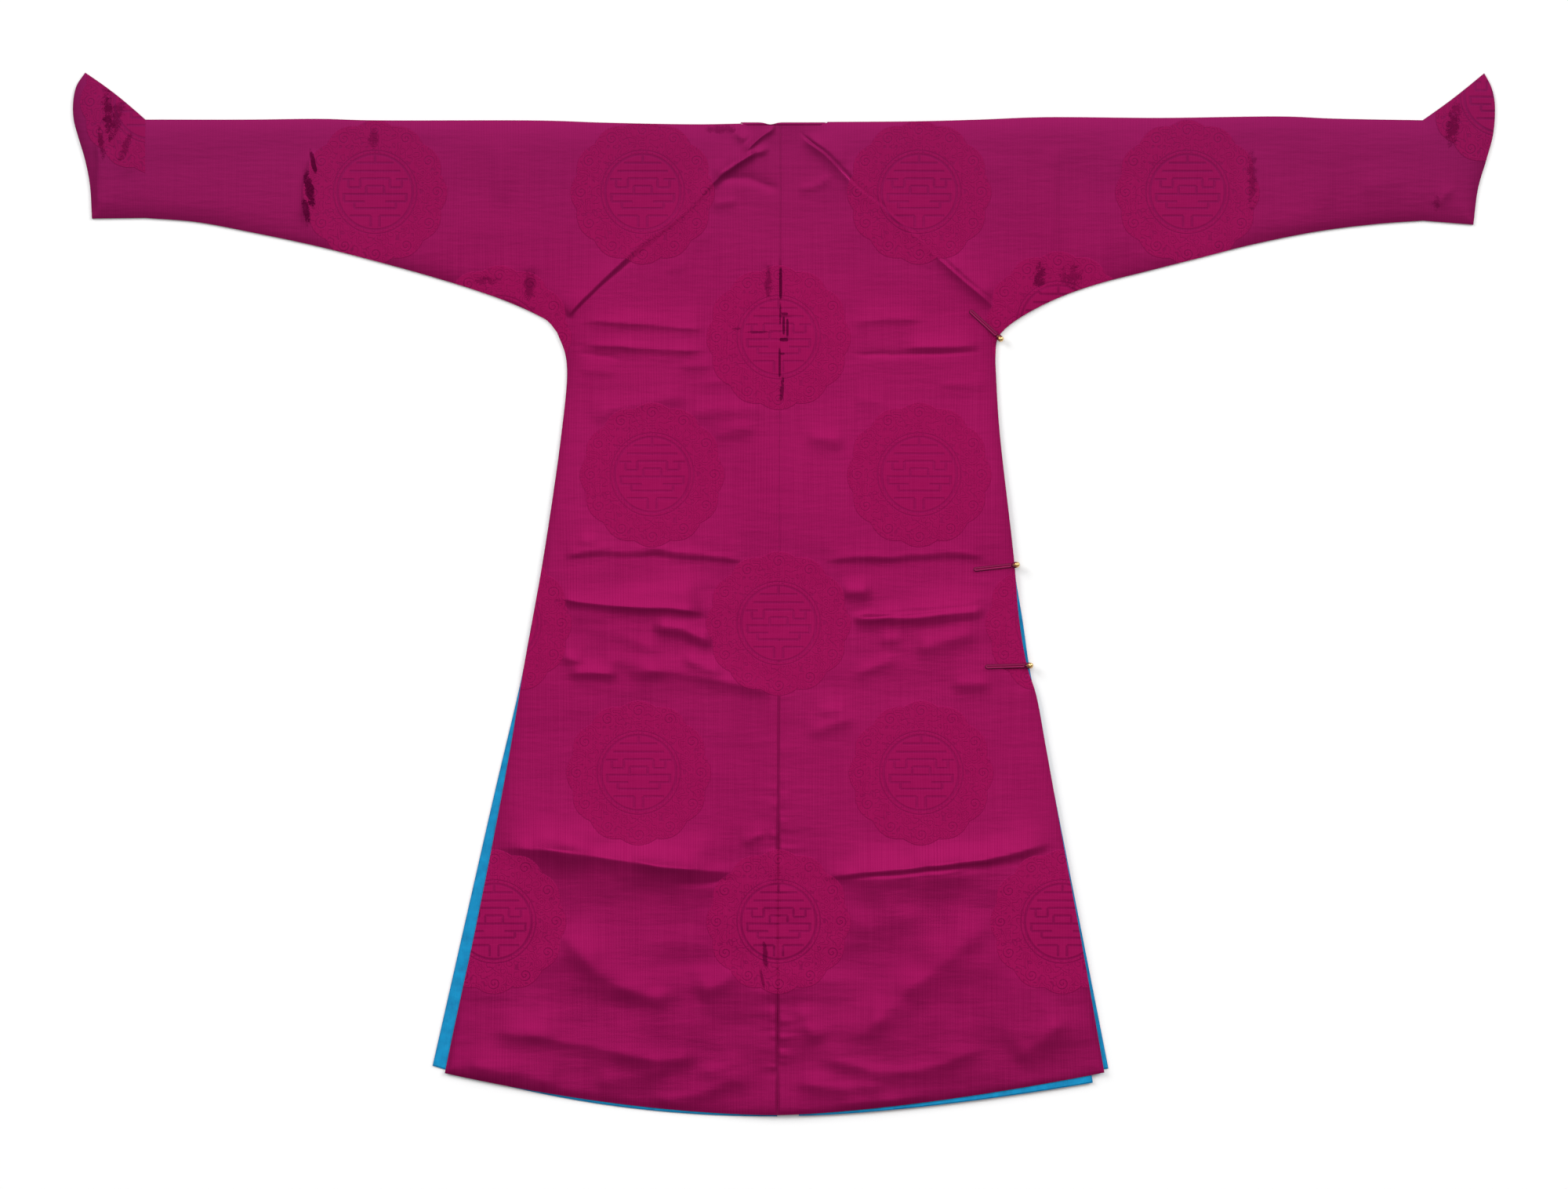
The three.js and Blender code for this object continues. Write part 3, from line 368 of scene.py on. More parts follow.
# %% The creases of the back
CREASES = [
    # The crease from the neck to the left underarm, and the short folds at the neck
    (2.6, 16, 3.2, 0.8, 0.03, [(-322, 288), (-263, 230), (-212, 183), (-177, 159), (-139, 128),
                               (-101, 87), (-40, 44)]),
    (-0.8, 4, 2.5, 0.8, 0.05, [(-316, 287), (-263, 236), (-177, 165), (-101, 91)]),
    (2.4, 9, 2.8, 0.9, 0.25, [(-58, 46), (-33, 21), (-9, 8)]),
    (2.1, 8, 2.6, 0.9, 0.2, [(-103, 84), (-73, 64), (-46, 49), (-17, 40)]),
    (-1.2, 9, 3.5, 1.5, 0.2, [(-101, 87), (-55, 85), (-23, 95), (-3, 99)]),
    (2.4, 5, 4, 1.5, 0.3, [(-112, 6), (-67, 8)]),
    (2.4, 6, 4, 1.5, 0.35, [(-72, 12), (-54, 29)]),
    (0.7, 10, 5, 1.5, 0.3, [(-110, 123), (-66, 118)]),
    (0.5, 8, 4, 1.5, 0.3, [(-133, 176), (-104, 171)]),
    (0.6, 10, 5, 1.5, 0.3, [(-176, 214), (-139, 210)]),
    # The crease to the right underarm
    (-0.8, 2.0, 1.6, 0.4, 0.04, [(24, 17), (71, 55), (105, 92), (144, 122), (183, 154), (225, 194),
                                 (271, 235), (328, 283)]),
    (1.0, 1.8, 8, 0.6, 0.04, [(23, 20), (70, 58), (104, 95), (143, 125), (182, 157), (224, 197),
                              (270, 238), (325, 284)]),
    (1.2, 20, 7, 2.0, 0.1, [(26, 12), (180, 148), (318, 280)]),
    (1.2, 12, 7, 2.0, 0.25, [(34, 20), (94, 64)]),
    (1.4, 10, 7, 2.0, 0.25, [(149, 108), (190, 143)]),
    (1.9, 16, 9, 3.0, 0.25, [(238, 199), (314, 266)]),
    (0.9, 4, 4, 1.0, 0.25, [(17, 101), (46, 95), (72, 78)]),
    # Two pairs of creases under the arms
    (1.7, 22, 7, 2.0, 0.15, [(-302, 294), (-278, 295), (-201, 300), (-112, 308)]),
    (1.5, 16, 5, 1.5, 0.2, [(-302, 330), (-247, 332), (-171, 337), (-108, 338)]),
    (-0.5, 5, 3, 1.0, 0.2, [(-306, 342), (-240, 350)]),
    (1.1, 16, 9, 3.0, 0.25, [(91, 297), (151, 292), (211, 291)]),
    (1.4, 14, 5, 1.5, 0.25, [(172, 334), (217, 334), (296, 331)]),
    (-0.7, 4, 2.5, 1.0, 0.15, [(96, 345), (209, 344), (300, 339)]),
    # Between the arms and the waist
    (0.7, 12, 6, 2.0, 0.3, [(-307, 368), (-244, 370)]),
    (0.8, 12, 6, 2.0, 0.3, [(-158, 361), (-101, 361)]),
    (1.3, 22, 8, 3.0, 0.2, [(-288, 446), (-259, 428), (-217, 420), (-177, 411), (-131, 411)]),
    (1.1, 14, 9, 3.0, 0.25, [(-153, 432), (-101, 428), (-21, 425)]),
    (1.3, 14, 8, 3.0, 0.3, [(-112, 465), (-78, 458), (-35, 453)]),
    (0.6, 10, 7, 3.0, 0.3, [(-134, 389), (-104, 384), (-48, 388)]),
    (0.8, 12, 6, 2.0, 0.3, [(100, 410), (153, 417)]),
    (1.4, 14, 9, 3.0, 0.3, [(27, 463), (50, 468), (95, 472)]),
    (0.6, 10, 6, 2.0, 0.3, [(222, 389), (312, 389)]),
    # The waist
    (1.5, 18, 2.8, 0.7, 0.1, [(-329, 644), (-293, 637), (-267, 635), (-209, 637), (-189, 634),
                              (-162, 639), (-101, 644), (-56, 649)]),
    (0.9, 8, 5, 1.5, 0.35, [(-309, 620), (-271, 620)]),
    (0.5, 16, 10, 3.0, 0.3, [(-141, 616), (-59, 628)]),
    (1.3, 18, 3.4, 0.9, 0.14, [(54, 650), (104, 645), (171, 645), (194, 642), (247, 639), (306, 644)]),
    (3.0, 20, 4.6, 0.9, 0.14, [(-343, 704), (-275, 714), (-201, 720), (-162, 721), (-114, 726)]),
    (0.9, 16, 9, 3.0, 0.25, [(-246, 703), (-197, 697), (-122, 695)]),
    (3.0, 14, 6, 1.4, 0.25, [(-199, 746), (-154, 752), (-124, 763), (-97, 773)]),
    (0.5, 10, 5, 1.5, 0.3, [(-321, 734), (-253, 734)]),
    (1.0, 16, 9, 4.0, 0.25, [(-306, 753), (-244, 759), (-175, 790)]),
    (2.2, 10, 6, 1.5, 0.35, [(77, 694), (135, 697)]),
    (3.7, 4.0, 6.5, 0.6, 0.1, [(99, 735), (128, 734), (209, 731), (300, 722)]),
    (1.4, 16, 7, 2.0, 0.2, [(120, 724), (171, 721), (267, 714), (301, 702)]),
    (2.0, 12, 8, 2.0, 0.3, [(-155, 789), (-124, 804), (-85, 817)]),
    (1.3, 8, 6, 2.0, 0.35, [(-333, 789), (-295, 798)]),
    (1.0, 16, 10, 3.0, 0.3, [(-275, 790), (-217, 804), (-172, 816)]),
    (1.6, 14, 7, 2.0, 0.25, [(-322, 817), (-282, 815), (-242, 818)]),
    (2.0, 16, 10, 3.0, 0.15, [(-236, 818), (-177, 813), (-124, 820), (-101, 825), (-61, 833), (-12, 846)]),
    (1.4, 8, 6, 2.0, 0.35, [(138, 767), (178, 765)]),
    (1.6, 16, 9, 4.0, 0.25, [(187, 784), (240, 768), (292, 755)]),
    (0.9, 8, 6, 2.0, 0.3, [(99, 821), (143, 802), (176, 791)]),
    (1.4, 12, 7, 3.0, 0.3, [(242, 833), (312, 831)]),
    (1.0, 10, 6, 2.0, 0.3, [(44, 871), (97, 870)]),
    (1.2, 12, 8, 3.0, 0.3, [(30, 910), (70, 892), (110, 882)]),
    # The deep fold across the skirt
    (7.8, 32, 12, 1.0, 0.24, [(-446, 1074), (-371, 1075), (-336, 1078), (-278, 1086), (-217, 1096),
                              (-171, 1103), (-124, 1106), (-52, 1112)]),
    (3.4, 16, 48, 6.0, 0.3, [(-430, 1082), (-336, 1086), (-217, 1102), (-72, 1118)]),
    (-1.2, 10, 4, 1.5, 0.25, [(-174, 1126), (-116, 1126), (-58, 1118)]),
    (5.6, 26, 4, 0.8, 0.16, [(46, 1120), (70, 1117), (178, 1106), (250, 1098), (309, 1091), (360, 1078),
                             (404, 1062)]),
    (2.4, 5, 14, 1.5, 0.34, [(60, 1126), (143, 1120), (229, 1112), (300, 1102)]),
    (2.6, 16, 46, 6.0, 0.3, [(60, 1132), (143, 1127), (229, 1122), (370, 1102)]),
    # The soft swells of the skirt
    (4.6, 34, 20, 8.0, 0.2, [(-338, 1190), (-307, 1226), (-273, 1262), (-232, 1283), (-189, 1293),
                             (-145, 1291)]),
    (2.6, 20, 18, 6.0, 0.3, [(-134, 1293), (-85, 1268), (-62, 1245)]),
    (3.4, 30, 13, 5.0, 0.12, [(-436, 1346), (-375, 1352), (-325, 1361), (-263, 1372), (-217, 1384),
                              (-171, 1388), (-118, 1380)]),
    (3.0, 28, 14, 5.0, 0.2, [(-476, 1391), (-421, 1405), (-383, 1411), (-327, 1426)]),
    (2.6, 24, 15, 5.0, 0.25, [(-288, 1421), (-217, 1412), (-161, 1400)]),
    (2.6, 20, 12, 4.0, 0.2, [(-209, 1447), (-143, 1444), (-104, 1430), (-73, 1418), (-50, 1440)]),
    (2.0, 16, 13, 4.0, 0.3, [(-132, 1407), (-85, 1396), (-60, 1380)]),
    (1.8, 30, 18, 8.0, 0.3, [(90, 1220), (139, 1187), (219, 1164)]),
    (4.2, 26, 34, 9.0, 0.2, [(74, 1362), (131, 1342), (159, 1313), (174, 1292), (209, 1264), (247, 1236),
                             (287, 1205), (317, 1178)]),
    (2.6, 14, 12, 4.0, 0.3, [(54, 1368), (38, 1340), (24, 1304)]),
    (3.3, 24, 15, 5.0, 0.2, [(38, 1382), (101, 1396), (151, 1406), (194, 1403), (247, 1388), (308, 1366)]),
    (3.2, 36, 16, 6.0, 0.25, [(338, 1389), (379, 1357), (424, 1324)]),
    (2.4, 18, 12, 4.0, 0.25, [(7, 1418), (70, 1429), (161, 1428)]),
    (2.2, 18, 8, 3.0, 0.25, [(69, 1455), (143, 1450), (230, 1439)]),
    # Beside the centre seam: a pulled thread in the upper medallion, and the closed vent
    (-1.3, 3.0, 4.5, 0.8, 0.15, [(-23, 217), (-24, 245), (-22, 276)]),
    (1.4, 8, 5, 1.5, 0.3, [(-64, 1068), (-27, 1052)]),
    (1.4, 8, 4, 1.5, 0.25, [(-36, 1149), (-17, 1119), (-14, 1071)]),
    (-1.5, 3, 4, 0.8, 0.1, [(-26, 1156), (-27, 1206), (-29, 1256), (-34, 1286)]),
    (0.7, 3, 3, 0.8, 0.1, [(-19, 1150), (-19, 1206), (-20, 1300)]),
    # The sleeves and cuffs, with the pinches at the underarms
    (-2.0, 6, 6, 1.5, 0.3, [(376, 206), (381, 232), (378, 254)]),
    (-1.8, 9, 9, 2.5, 0.3, [(424, 206), (427, 228), (422, 250)]),
    (-1.8, 6, 7, 1.5, 0.3, [(-378, 216), (-375, 244), (-380, 270)]),
    (-1.4, 6, 5, 1.5, 0.3, [(-466, 236), (-441, 234), (-416, 238)]),
    (-1.9, 6, 4, 1.2, 0.2, [(-1002, -46), (-1003, 0), (-999, 54)]),
    (2.6, 5, 7, 1.0, 0.25, [(-710, 159), (-704, 87), (-692, 39)]),
    (0.9, 12, 6, 2.0, 0.15, [(396, 240), (398, 150), (400, 30)]),
    (0.8, 12, 16, 4.0, 0.3, [(-420, 130), (-418, 80), (-424, 20)]),
    (0.7, 22, 22, 8.0, 0.3, [(498, 220), (494, 120), (498, 20)]),
    (0.7, 14, 26, 6.0, 0.3, [(712, 170), (716, 90), (700, 30)]),
    (0.6, 18, 10, 4.0, 0.3, [(802, 150), (806, 80), (800, 10)]),
    (0.5, 30, 12, 5.0, 0.3, [(-680, 100), (-560, 96), (-470, 102)]),
    (0.6, 30, 14, 5.0, 0.3, [(460, 60), (560, 52), (640, 60)]),
    (0.6, 30, 14, 5.0, 0.3, [(840, 96), (890, 92), (930, 84)]),
    (1.3, 3, 9, 1.0, 0.12, [(-1019, 134), (-1015, 60), (-1010, -48)]),
    (1.0, 14, 5, 2.0, 0.3, [(-985, 86), (-962, 50), (-990, 10)]),
    (1.5, 5, 12, 1.5, 0.15, [(1035, 40), (1033, 0), (1029, -56)]),
    (0.9, 10, 6, 2.0, 0.3, [(966, 130), (978, 108), (996, 100)]),
]


def creases_at(points):
    """The height of all creases at each point (x, drop): a crest falls off on each side as
    exp(-d / spread), where d is the distance, rounded near the crest. Each line wanders by a
    millimetre or so, and its strength changes by up to 45 percent along the way."""
    total = np.zeros(len(points))
    wobble = 1.1 * uneven(points, 30, 24, 11) + 0.5 * uneven(points, 9, 9, 12)
    strength = 1 + 0.45 * uneven(points, 46, 46, 13)
    for height, above, below, rounded, end, route in CREASES:
        count = 6 * len(route)
        line = curve_through(route)(np.linspace(0, 1, count))
        reach = 5 * max(above, below) + rounded
        near = np.all((points > line.min(0) - reach) & (points < line.max(0) + reach), axis=1)
        if not near.any():
            continue
        run, away = beside(points[near], line)
        away += wobble[near]
        spread = np.where(away < 0, above, below)
        d = np.sqrt(away**2 + rounded**2) - rounded
        fade = smooth(0, end, run) * (1 - smooth(1 - end, 1, run))
        total[near] += height * fade * np.exp(-d / spread)
    return total * strength


print(len(CREASES), "creases, the highest", max(row[0] for row in CREASES), "mm")

# %% [markdown]
# Between the creases the cloth is never quite flat. Seeded noise gives a slow swell and quick low
# wrinkles, both stronger at the waist and in the skirt. Stitching draws the silk in: it sinks along
# each seam, deepest where the vent lies closed, and beside the centre seam it puckers into short
# ripples that die out within a few centimetres. A row of the first table is a drop, the depth of the
# seam there and the reach of its sides. A row of the second is a drop and the puckers' height.

# %% Swells, seams and puckers
SEAM_DIP = [(0, 0.2, 2.0), (208, 0.25, 2.0), (216, 0.8, 2.4), (415, 0.8, 2.4), (424, 0.2, 2.0),
            (760, 0.25, 2.0), (800, 0.6, 2.0), (1010, 0.7, 2.0), (1070, 2.0, 2.6), (1300, 1.7, 2.4),
            (1470, 1.9, 2.4)]
PUCKERS = [(0, 0.0), (260, 0.1), (290, 0.9), (330, 0.8), (430, 0.3), (560, 0.1), (730, 0.2), (830, 0.5),
           (870, 0.2), (1010, 0.6), (1050, 1.5), (1160, 1.2), (1300, 1.3), (1400, 0.9), (1470, 0.3)]
OTHER_DIP, OTHER_REACH = 0.02, 1.2
WAIST_BEGINS, WAIST_ENDS = (560, 640), (860, 960)
SKIRT_BEGINS = (1090, 1180)


def seams_at(points):
    """How far the seams pull the cloth down. Along the centre seam it is a groove with straight sides,
    depth * (1 - distance / reach), whose depth and reach follow a table."""
    x, drop = points.T
    drops, depths, reaches = np.transpose(SEAM_DIP)
    groove = np.clip(1 - np.abs(x + centre_seam(drop)) / np.interp(drop, drops, reaches), 0, 1)
    centre = np.interp(drop, drops, depths) * groove
    others = [OTHER_DIP * np.exp(-np.abs(np.abs(x) - at) / OTHER_REACH) for at in (SLEEVE_SEAM, CUFF_SEAM)]
    return centre + sum(others)


def puckers_at(points):
    """Short wrinkles across the centre seam, each side with its own, that fade away from it."""
    x, drop = points.T
    away = x + centre_seam(drop)
    side_by_side = np.where(away < 0, uneven(points, 34, 9, 5), uneven(points, 30, 8, 6))
    reach = 17 + 13 * uneven(points, 300, 26, 7)
    fade = np.exp(-np.abs(away) / np.maximum(reach, 7)) - np.exp(-np.abs(away) / 1.5)
    return np.interp(drop, *np.transpose(PUCKERS)) * side_by_side * fade


def relief(points):
    """All that lifts or lowers the back above its resting height, in millimetres."""
    skirt = smooth(*SKIRT_BEGINS, points[:, 1])
    waist = smooth(*WAIST_BEGINS, points[:, 1]) * (1 - smooth(*WAIST_ENDS, points[:, 1]))
    slow = (0.5 + 0.4 * waist + 1.4 * skirt) * uneven(points, 150, 62, 1)
    quick = (0.06 + 0.12 * waist + 0.12 * skirt) * uneven(points, 60, 13, 2)
    return creases_at(points) * (1 + 0.3 * waist) + slow + quick + puckers_at(points) - seams_at(points)


sample = np.column_stack([np.linspace(-400, 400, 9), np.full(9, 1100.0)])
print("relief across the deep fold:", relief(sample).round(1).tolist())

# %% [markdown]
# The back lies on the sheets that it was sewn to: the left front and the overlap on the ground, their
# lining, then the right front with its inner flap. Its height follows how many sheets are below it,
# and it stays clear of them however deep a seam sinks.

# %% The height of the back
def on_overlap(x, drop):
    """1 where the right front lies on the overlap, fading to 0 along its sleeve."""
    return np.where(drop < SLEEVE_ENDS, 1 - smooth(*OVERLAP_FADES, x), 1)


def sheets_under(points):
    """How many sheets lie under the back: the fronts, their lining from the hips down, and the inner
    flap. Each step is eased over a wide band, because the cloth bridges it."""
    x, drop = points.T
    lined = smooth(LINING_TOP - LINING_EASE, LINING_TOP - 4, drop)
    return (1 + lined) * (1 + smooth(*FLAP_EASE, x) * on_overlap(x, drop))


def back_top(points, half):
    """The upper side of the back: cloth on its sheets, air, and relief that fades at the edges."""
    out = np.column_stack([np.abs(points[:, 0]), points[:, 1]])
    lift = np.maximum(AIR + relief(points), LEAST_AIR)
    return LAYER * sheets_under(points) + CLOTH + lift * edge_roll(half, out)


def half_top(half):
    """The height function of one half of the back."""
    return lambda points: back_top(points, half)


sample = np.array([[60.0, 500.0]])
print("height at the middle of the back:", back_top(sample, "right").round(2).tolist(), "mm")

# %% [markdown]
# A panel is a thin shell: its upper face follows the height function, its lower face lies one cloth
# below, and a rim closes the edge, as a turned edge does. The rim has points of its own, so that it
# doesn't bend the light on the faces beside it. Patches of one panel share points along their common
# line, so equal points are joined first. The silk's face and its inner side get different material
# slots, because the inner side is lined, except round the neck, which is faced with silk. The woven
# medallions need a map of their own: each face takes the nearest medallion's middle as its origin,
# with 1 at the rim of the disc.

# %% A cloth wall over a pattern piece
MEDALLION_RADIUS = 110.0
MEDALLIONS = [(-209, 104), (200, 104), (-605, 104), (597, 104), (-8, 319), (-421, 319), (406, 298),
              (-195, 522), (200, 522), (-8, 742), (-421, 742), (405, 742), (-215, 963), (203, 963),
              (-8, 1183), (-429, 1183), (412, 1183)]
CUFF_MEDALLIONS = [(-935, -30), (1062, -40)]
FACING = (150, 130)
WELDS_PER_MM = 50
made = {}


def wall(name, patches, top_of, medallions=MEDALLIONS, face_up=True):
    """A closed shell over patches of (x, drop). top_of gives the height of the upper side."""
    points, quads, start = [], [], 0
    for patch in patches:
        rows, columns = patch.shape[:2]
        ids = start + np.arange(rows * columns).reshape(rows, columns)
        quads.append(np.stack([ids[:-1, :-1], ids[1:, :-1], ids[1:, 1:], ids[:-1, 1:]], -1).reshape(-1, 4))
        points.append(patch.reshape(-1, 2))
        start += rows * columns
    points, quads = np.vstack(points), np.vstack(quads)
    spots = np.round(points * WELDS_PER_MM).astype(int)
    _, first, same = np.unique(spots, axis=0, return_index=True, return_inverse=True)
    points, quads = points[first], same.ravel()[quads]
    corner = points[quads]
    one, two = corner[:, 2] - corner[:, 0], corner[:, 3] - corner[:, 1]
    turn = one[:, 0] * two[:, 1] - one[:, 1] * two[:, 0]
    quads = np.where(turn[:, None] > 0, quads[:, ::-1], quads)
    count = len(points)
    ends = np.stack([quads, np.roll(quads, -1, axis=1)], -1).reshape(-1, 2)
    directed = ends[:, 0] * count + ends[:, 1]
    open_edges = ends[~np.isin(directed, ends[:, 1] * count + ends[:, 0])]
    edge, at_edge = np.unique(open_edges, return_inverse=True)
    a, b = at_edge.reshape(-1, 2).T + 2 * count
    rim = np.column_stack([a, a + len(edge), b + len(edge), b])
    faces = np.vstack([quads, quads[:, ::-1] + count, rim])
    high = place(points[:, 0], points[:, 1], top_of(points))
    low = high - np.array([0, 0, CLOTH * MM])
    mesh = bpy.data.meshes.new(name)
    mesh.from_pydata(np.vstack([high, low, high[edge], low[edge]]).tolist(), [], faces.tolist())
    plan = np.vstack([points, points, points[edge], points[edge]])
    middles = np.array(medallions, float)
    centre = plan[faces].mean(1)
    nearest = np.linalg.norm(centre[:, None] - middles[None], axis=2).argmin(1)
    uv = (plan[faces] - middles[nearest][:, None]) / MEDALLION_RADIUS * [1, -1]
    mesh.uv_layers.new(name="medallion").data.foreach_set("uv", uv.ravel())
    inner = np.zeros(len(faces), np.int32)
    inner[(slice(len(quads), 2 * len(quads)) if face_up else slice(0, len(quads)))] = 1
    inner[(np.abs(centre[:, 0]) < FACING[0]) & (centre[:, 1] < FACING[1])] = 0
    mesh.polygons.foreach_set("material_index", inner)
    smooth_face = np.ones(len(faces), bool)
    smooth_face[2 * len(quads):] = False
    mesh.polygons.foreach_set("use_smooth", smooth_face)
    mesh.update()
    piece = in_scene(f"{name}_cloth", mesh)
    area = np.abs(turn).sum() / 2 * MM**2
    width, length = np.ptp(points, axis=0) * MM
    made[name] = {"piece": piece, "flat": (width, length), "area": area}
    print(f"{piece.name}: {2 * len(faces)} triangles, {width:.3f} x {length:.3f} m, {area:.3f} m2")


# %% [markdown]
# Each half of the back is one length of silk with its upper sleeve. Its grid has two patches that
# meet in the crease from neck to underarm, so that the crease is a clean line of edges. Below the
# arm the rows run along the great horizontal creases, and crowd together beside each of them.

# %% The two halves of the back
DOWN, BEND_ROWS = 72, 26
GUIDE_HEIGHT, GUIDE_LENGTH, GUIDE_SLOPE = 1.3, 110, 0.16


def mirrored(grid, half):
    """The same grid on its own side of the middle."""
    return grid * [SIGN[half], 1]


def key_rows(half):
    """The long level creases of one half as rows: their drop at the middle and at the side."""
    rows = []
    for height, _, _, _, _, route in CREASES:
        p = np.array(route, float) * [SIGN[half], 1]
        (x0, d0), (x1, d1) = p[np.argmin(p[:, 0])], p[np.argmax(p[:, 0])]
        slope = (d1 - d0) / max(x1 - x0, 1)
        if height >= GUIDE_HEIGHT and x1 - x0 > GUIDE_LENGTH and abs(slope) < GUIDE_SLOPE and x0 > 0:
            at_side = d1 + slope * (side[f"back_{half}"](0.5)[0][0] - x1)
            rows.append((d0 - slope * x0, at_side))
    return sorted(rows, key=sum)


def rows_down(name, keys, fine, coarse, pucker_step):
    """Row lines from the underarm to the hem, as their drops at the middle and at the side."""
    start, end = SIDES[name][0][1], (HEM_MIDDLE[name], SIDES[name][-1][1])
    kept = [(start, start)]
    for key in [*keys, end]:
        while len(kept) > 1 and key is end and min(np.subtract(end, kept[-1])) < 6:
            kept.pop()
        if min(np.subtract(key, kept[-1])) > 4:
            kept.append(key)
    kept = np.array(kept, float)
    level = kept.mean(1)

    def step_at(place_down):
        """The wanted step, which is fine beside each key row and where the seam puckers."""
        d = place_down + level[0]
        past = d[:, None] - level[None, 1:]
        near = np.minimum(np.abs(past - 4) / 22, 1).min(1)
        puckered = smooth(0.3, 0.6, np.interp(d, *np.transpose(PUCKERS)))
        return fine + (coarse - puckered * (coarse - pucker_step) - fine) * near**0.8

    at = steps_to(level[-1] - level[0], step_at) + level[0]
    return np.column_stack([np.interp(at, level, kept[:, k]) for k in (0, 1)])


def body_grid(name, middle, rows, across):
    """Rows from the middle line to the side, the last ones bent gradually as the hem is."""
    side_points = where(side[name], 1, np.minimum(rows[:, 1], SIDES[name][-1][1]))
    bend_from = rows[-BEND_ROWS, 0] if len(rows) > BEND_ROWS else 0.6 * rows[-1, 0]
    power = 1 + (HEM_BEND[name] - 1) * smooth(bend_from, rows[-1, 0], rows[:, 0])
    inner = middle(rows[:, 0])
    out = inner[:, None] + (side_points[:, 0] - inner)[:, None] * across[None]
    drop = rows[:, :1] + (rows[:, 1:] - rows[:, :1]) * across[None] ** power[:, None]
    return np.stack([out, drop], -1)


def neck_edge(half, out):
    """The drop of the shoulder line, which sinks to the edge of the neck near the middle."""
    line = where(shoulder[half], 0, np.maximum(out, NECK_HALF_WIDTH))[:, 1]
    near_neck = 1 - smooth(NECK_HALF_WIDTH - 8, NECK_HALF_WIDTH, out)
    return line + (NECK_DIP - line) * near_neck


def top_of_back(half, share):
    """The shoulder line from the neck crease to the sleeve seam, dipped at the neck."""
    from_out = crease[half](0)[0][0]
    out = from_out + (SLEEVE_SEAM - HALF_GAP - from_out) * share
    return np.column_stack([out, neck_edge(half, out)])


def under_sleeve(half, to, share):
    """The sleeve's underside from the underarm, closer together where it turns."""
    start = UNDERSIDE[half][0][0]
    return where(underside[half], 0, start + (to - start) * share**1.3)


def back_patches(half):
    """The shoulder patch with its sleeve, and the body patch below the crease to the underarm."""
    down = np.linspace(0, 1, DOWN + 1)
    across = shares(520, 1.6, 6.2, 2.0, 16)
    top, bottom = top_of_back(half, across), under_sleeve(half, SLEEVE_SEAM - HALF_GAP, across)
    first = crease[half](down)
    first[0] = top[0]
    yoke = coons(first, straight(top[-1], bottom[-1], down), top, bottom, across, down)
    body_across = shares(380, 1.5, 5.4, 1.6, 15)
    inner = MIDDLE[half](first[:, 1])
    upper_out = inner[:, None] + (first[:, 0] - inner)[:, None] * body_across[None]
    upper = np.stack([upper_out, np.repeat(first[:, 1:], len(body_across), axis=1)], -1)
    name = f"back_{half}"
    rows = rows_down(name, key_rows(half), 1.7, 6.0, 3.4)
    lower = body_grid(name, MIDDLE[half], rows, body_across)
    return [mirrored(yoke, half), mirrored(np.vstack([upper, lower[1:]]), half)]


for half in SIGN:
    wall(f"back_{half}", back_patches(half), half_top(half))

# %% [markdown]
# The lower sleeves are two more lengths of silk, seamed on at the elbow, and the cuffs are a third.
# They lie at the height of the back, so the same height function carries the folds across the seams.

# %% Lower sleeves and cuffs
def sleeve_patch(half, step):
    """The lower sleeve, between its seam and the cuff's seam."""
    start, end = SLEEVE_SEAM + HALF_GAP, CUFF_SEAM - HALF_GAP
    across = shares(end - start, min(step, 1.6), step, min(step, 1.6), 10)
    down = shares(165, min(step, 1.8), step, min(step, 1.8), 10)
    out = start + (end - start) * across
    top, bottom = where(shoulder[half], 0, out), where(underside[half], 0, out)
    first, last = straight(top[0], bottom[0], down), straight(top[-1], bottom[-1], down)
    return mirrored(coons(first, last, top, bottom, across, down), half)


def cuff_patch(half, step):
    """The flared cuff, folded along its upper edge and open along its outer edge."""
    across = shares(95, min(step, 1.6), step, min(step, 1.5), 10)
    down = shares(190, min(step, 1.8), step, min(step, 1.8), 10)
    share = 0.0003 + 0.9997 * across
    top = cuff_top(half, share)
    bottom = straight(underside[half](1)[0], cuff_edge[half](1)[0], share)
    first = straight(top[0], bottom[0], down)
    return mirrored(coons(first, cuff_edge[half](down), top, bottom, across, down), half)


def on_ground(points):
    """The upper side of a sheet that lies on the ground."""
    return np.full(len(points), CLOTH)


FINE, PLAIN = 3.6, 9.0
for half in SIGN:
    for part, patch, discs in (("sleeve", sleeve_patch, MEDALLIONS), ("cuff", cuff_patch, CUFF_MEDALLIONS)):
        wall(f"{part}_{half}_back", [patch(half, FINE)], half_top(half), discs)
        wall(f"{part}_{half}_front", [patch(half, PLAIN)], on_ground, discs, face_up=False)

# %% [markdown]
# The fronts lie under the back and show only as slivers at the slits and the hem. They are flat
# where they rest, with the round neck cut into them. Their grids are plainer, because nothing
# creases them, but their edges are drawn from the same smooth lines.

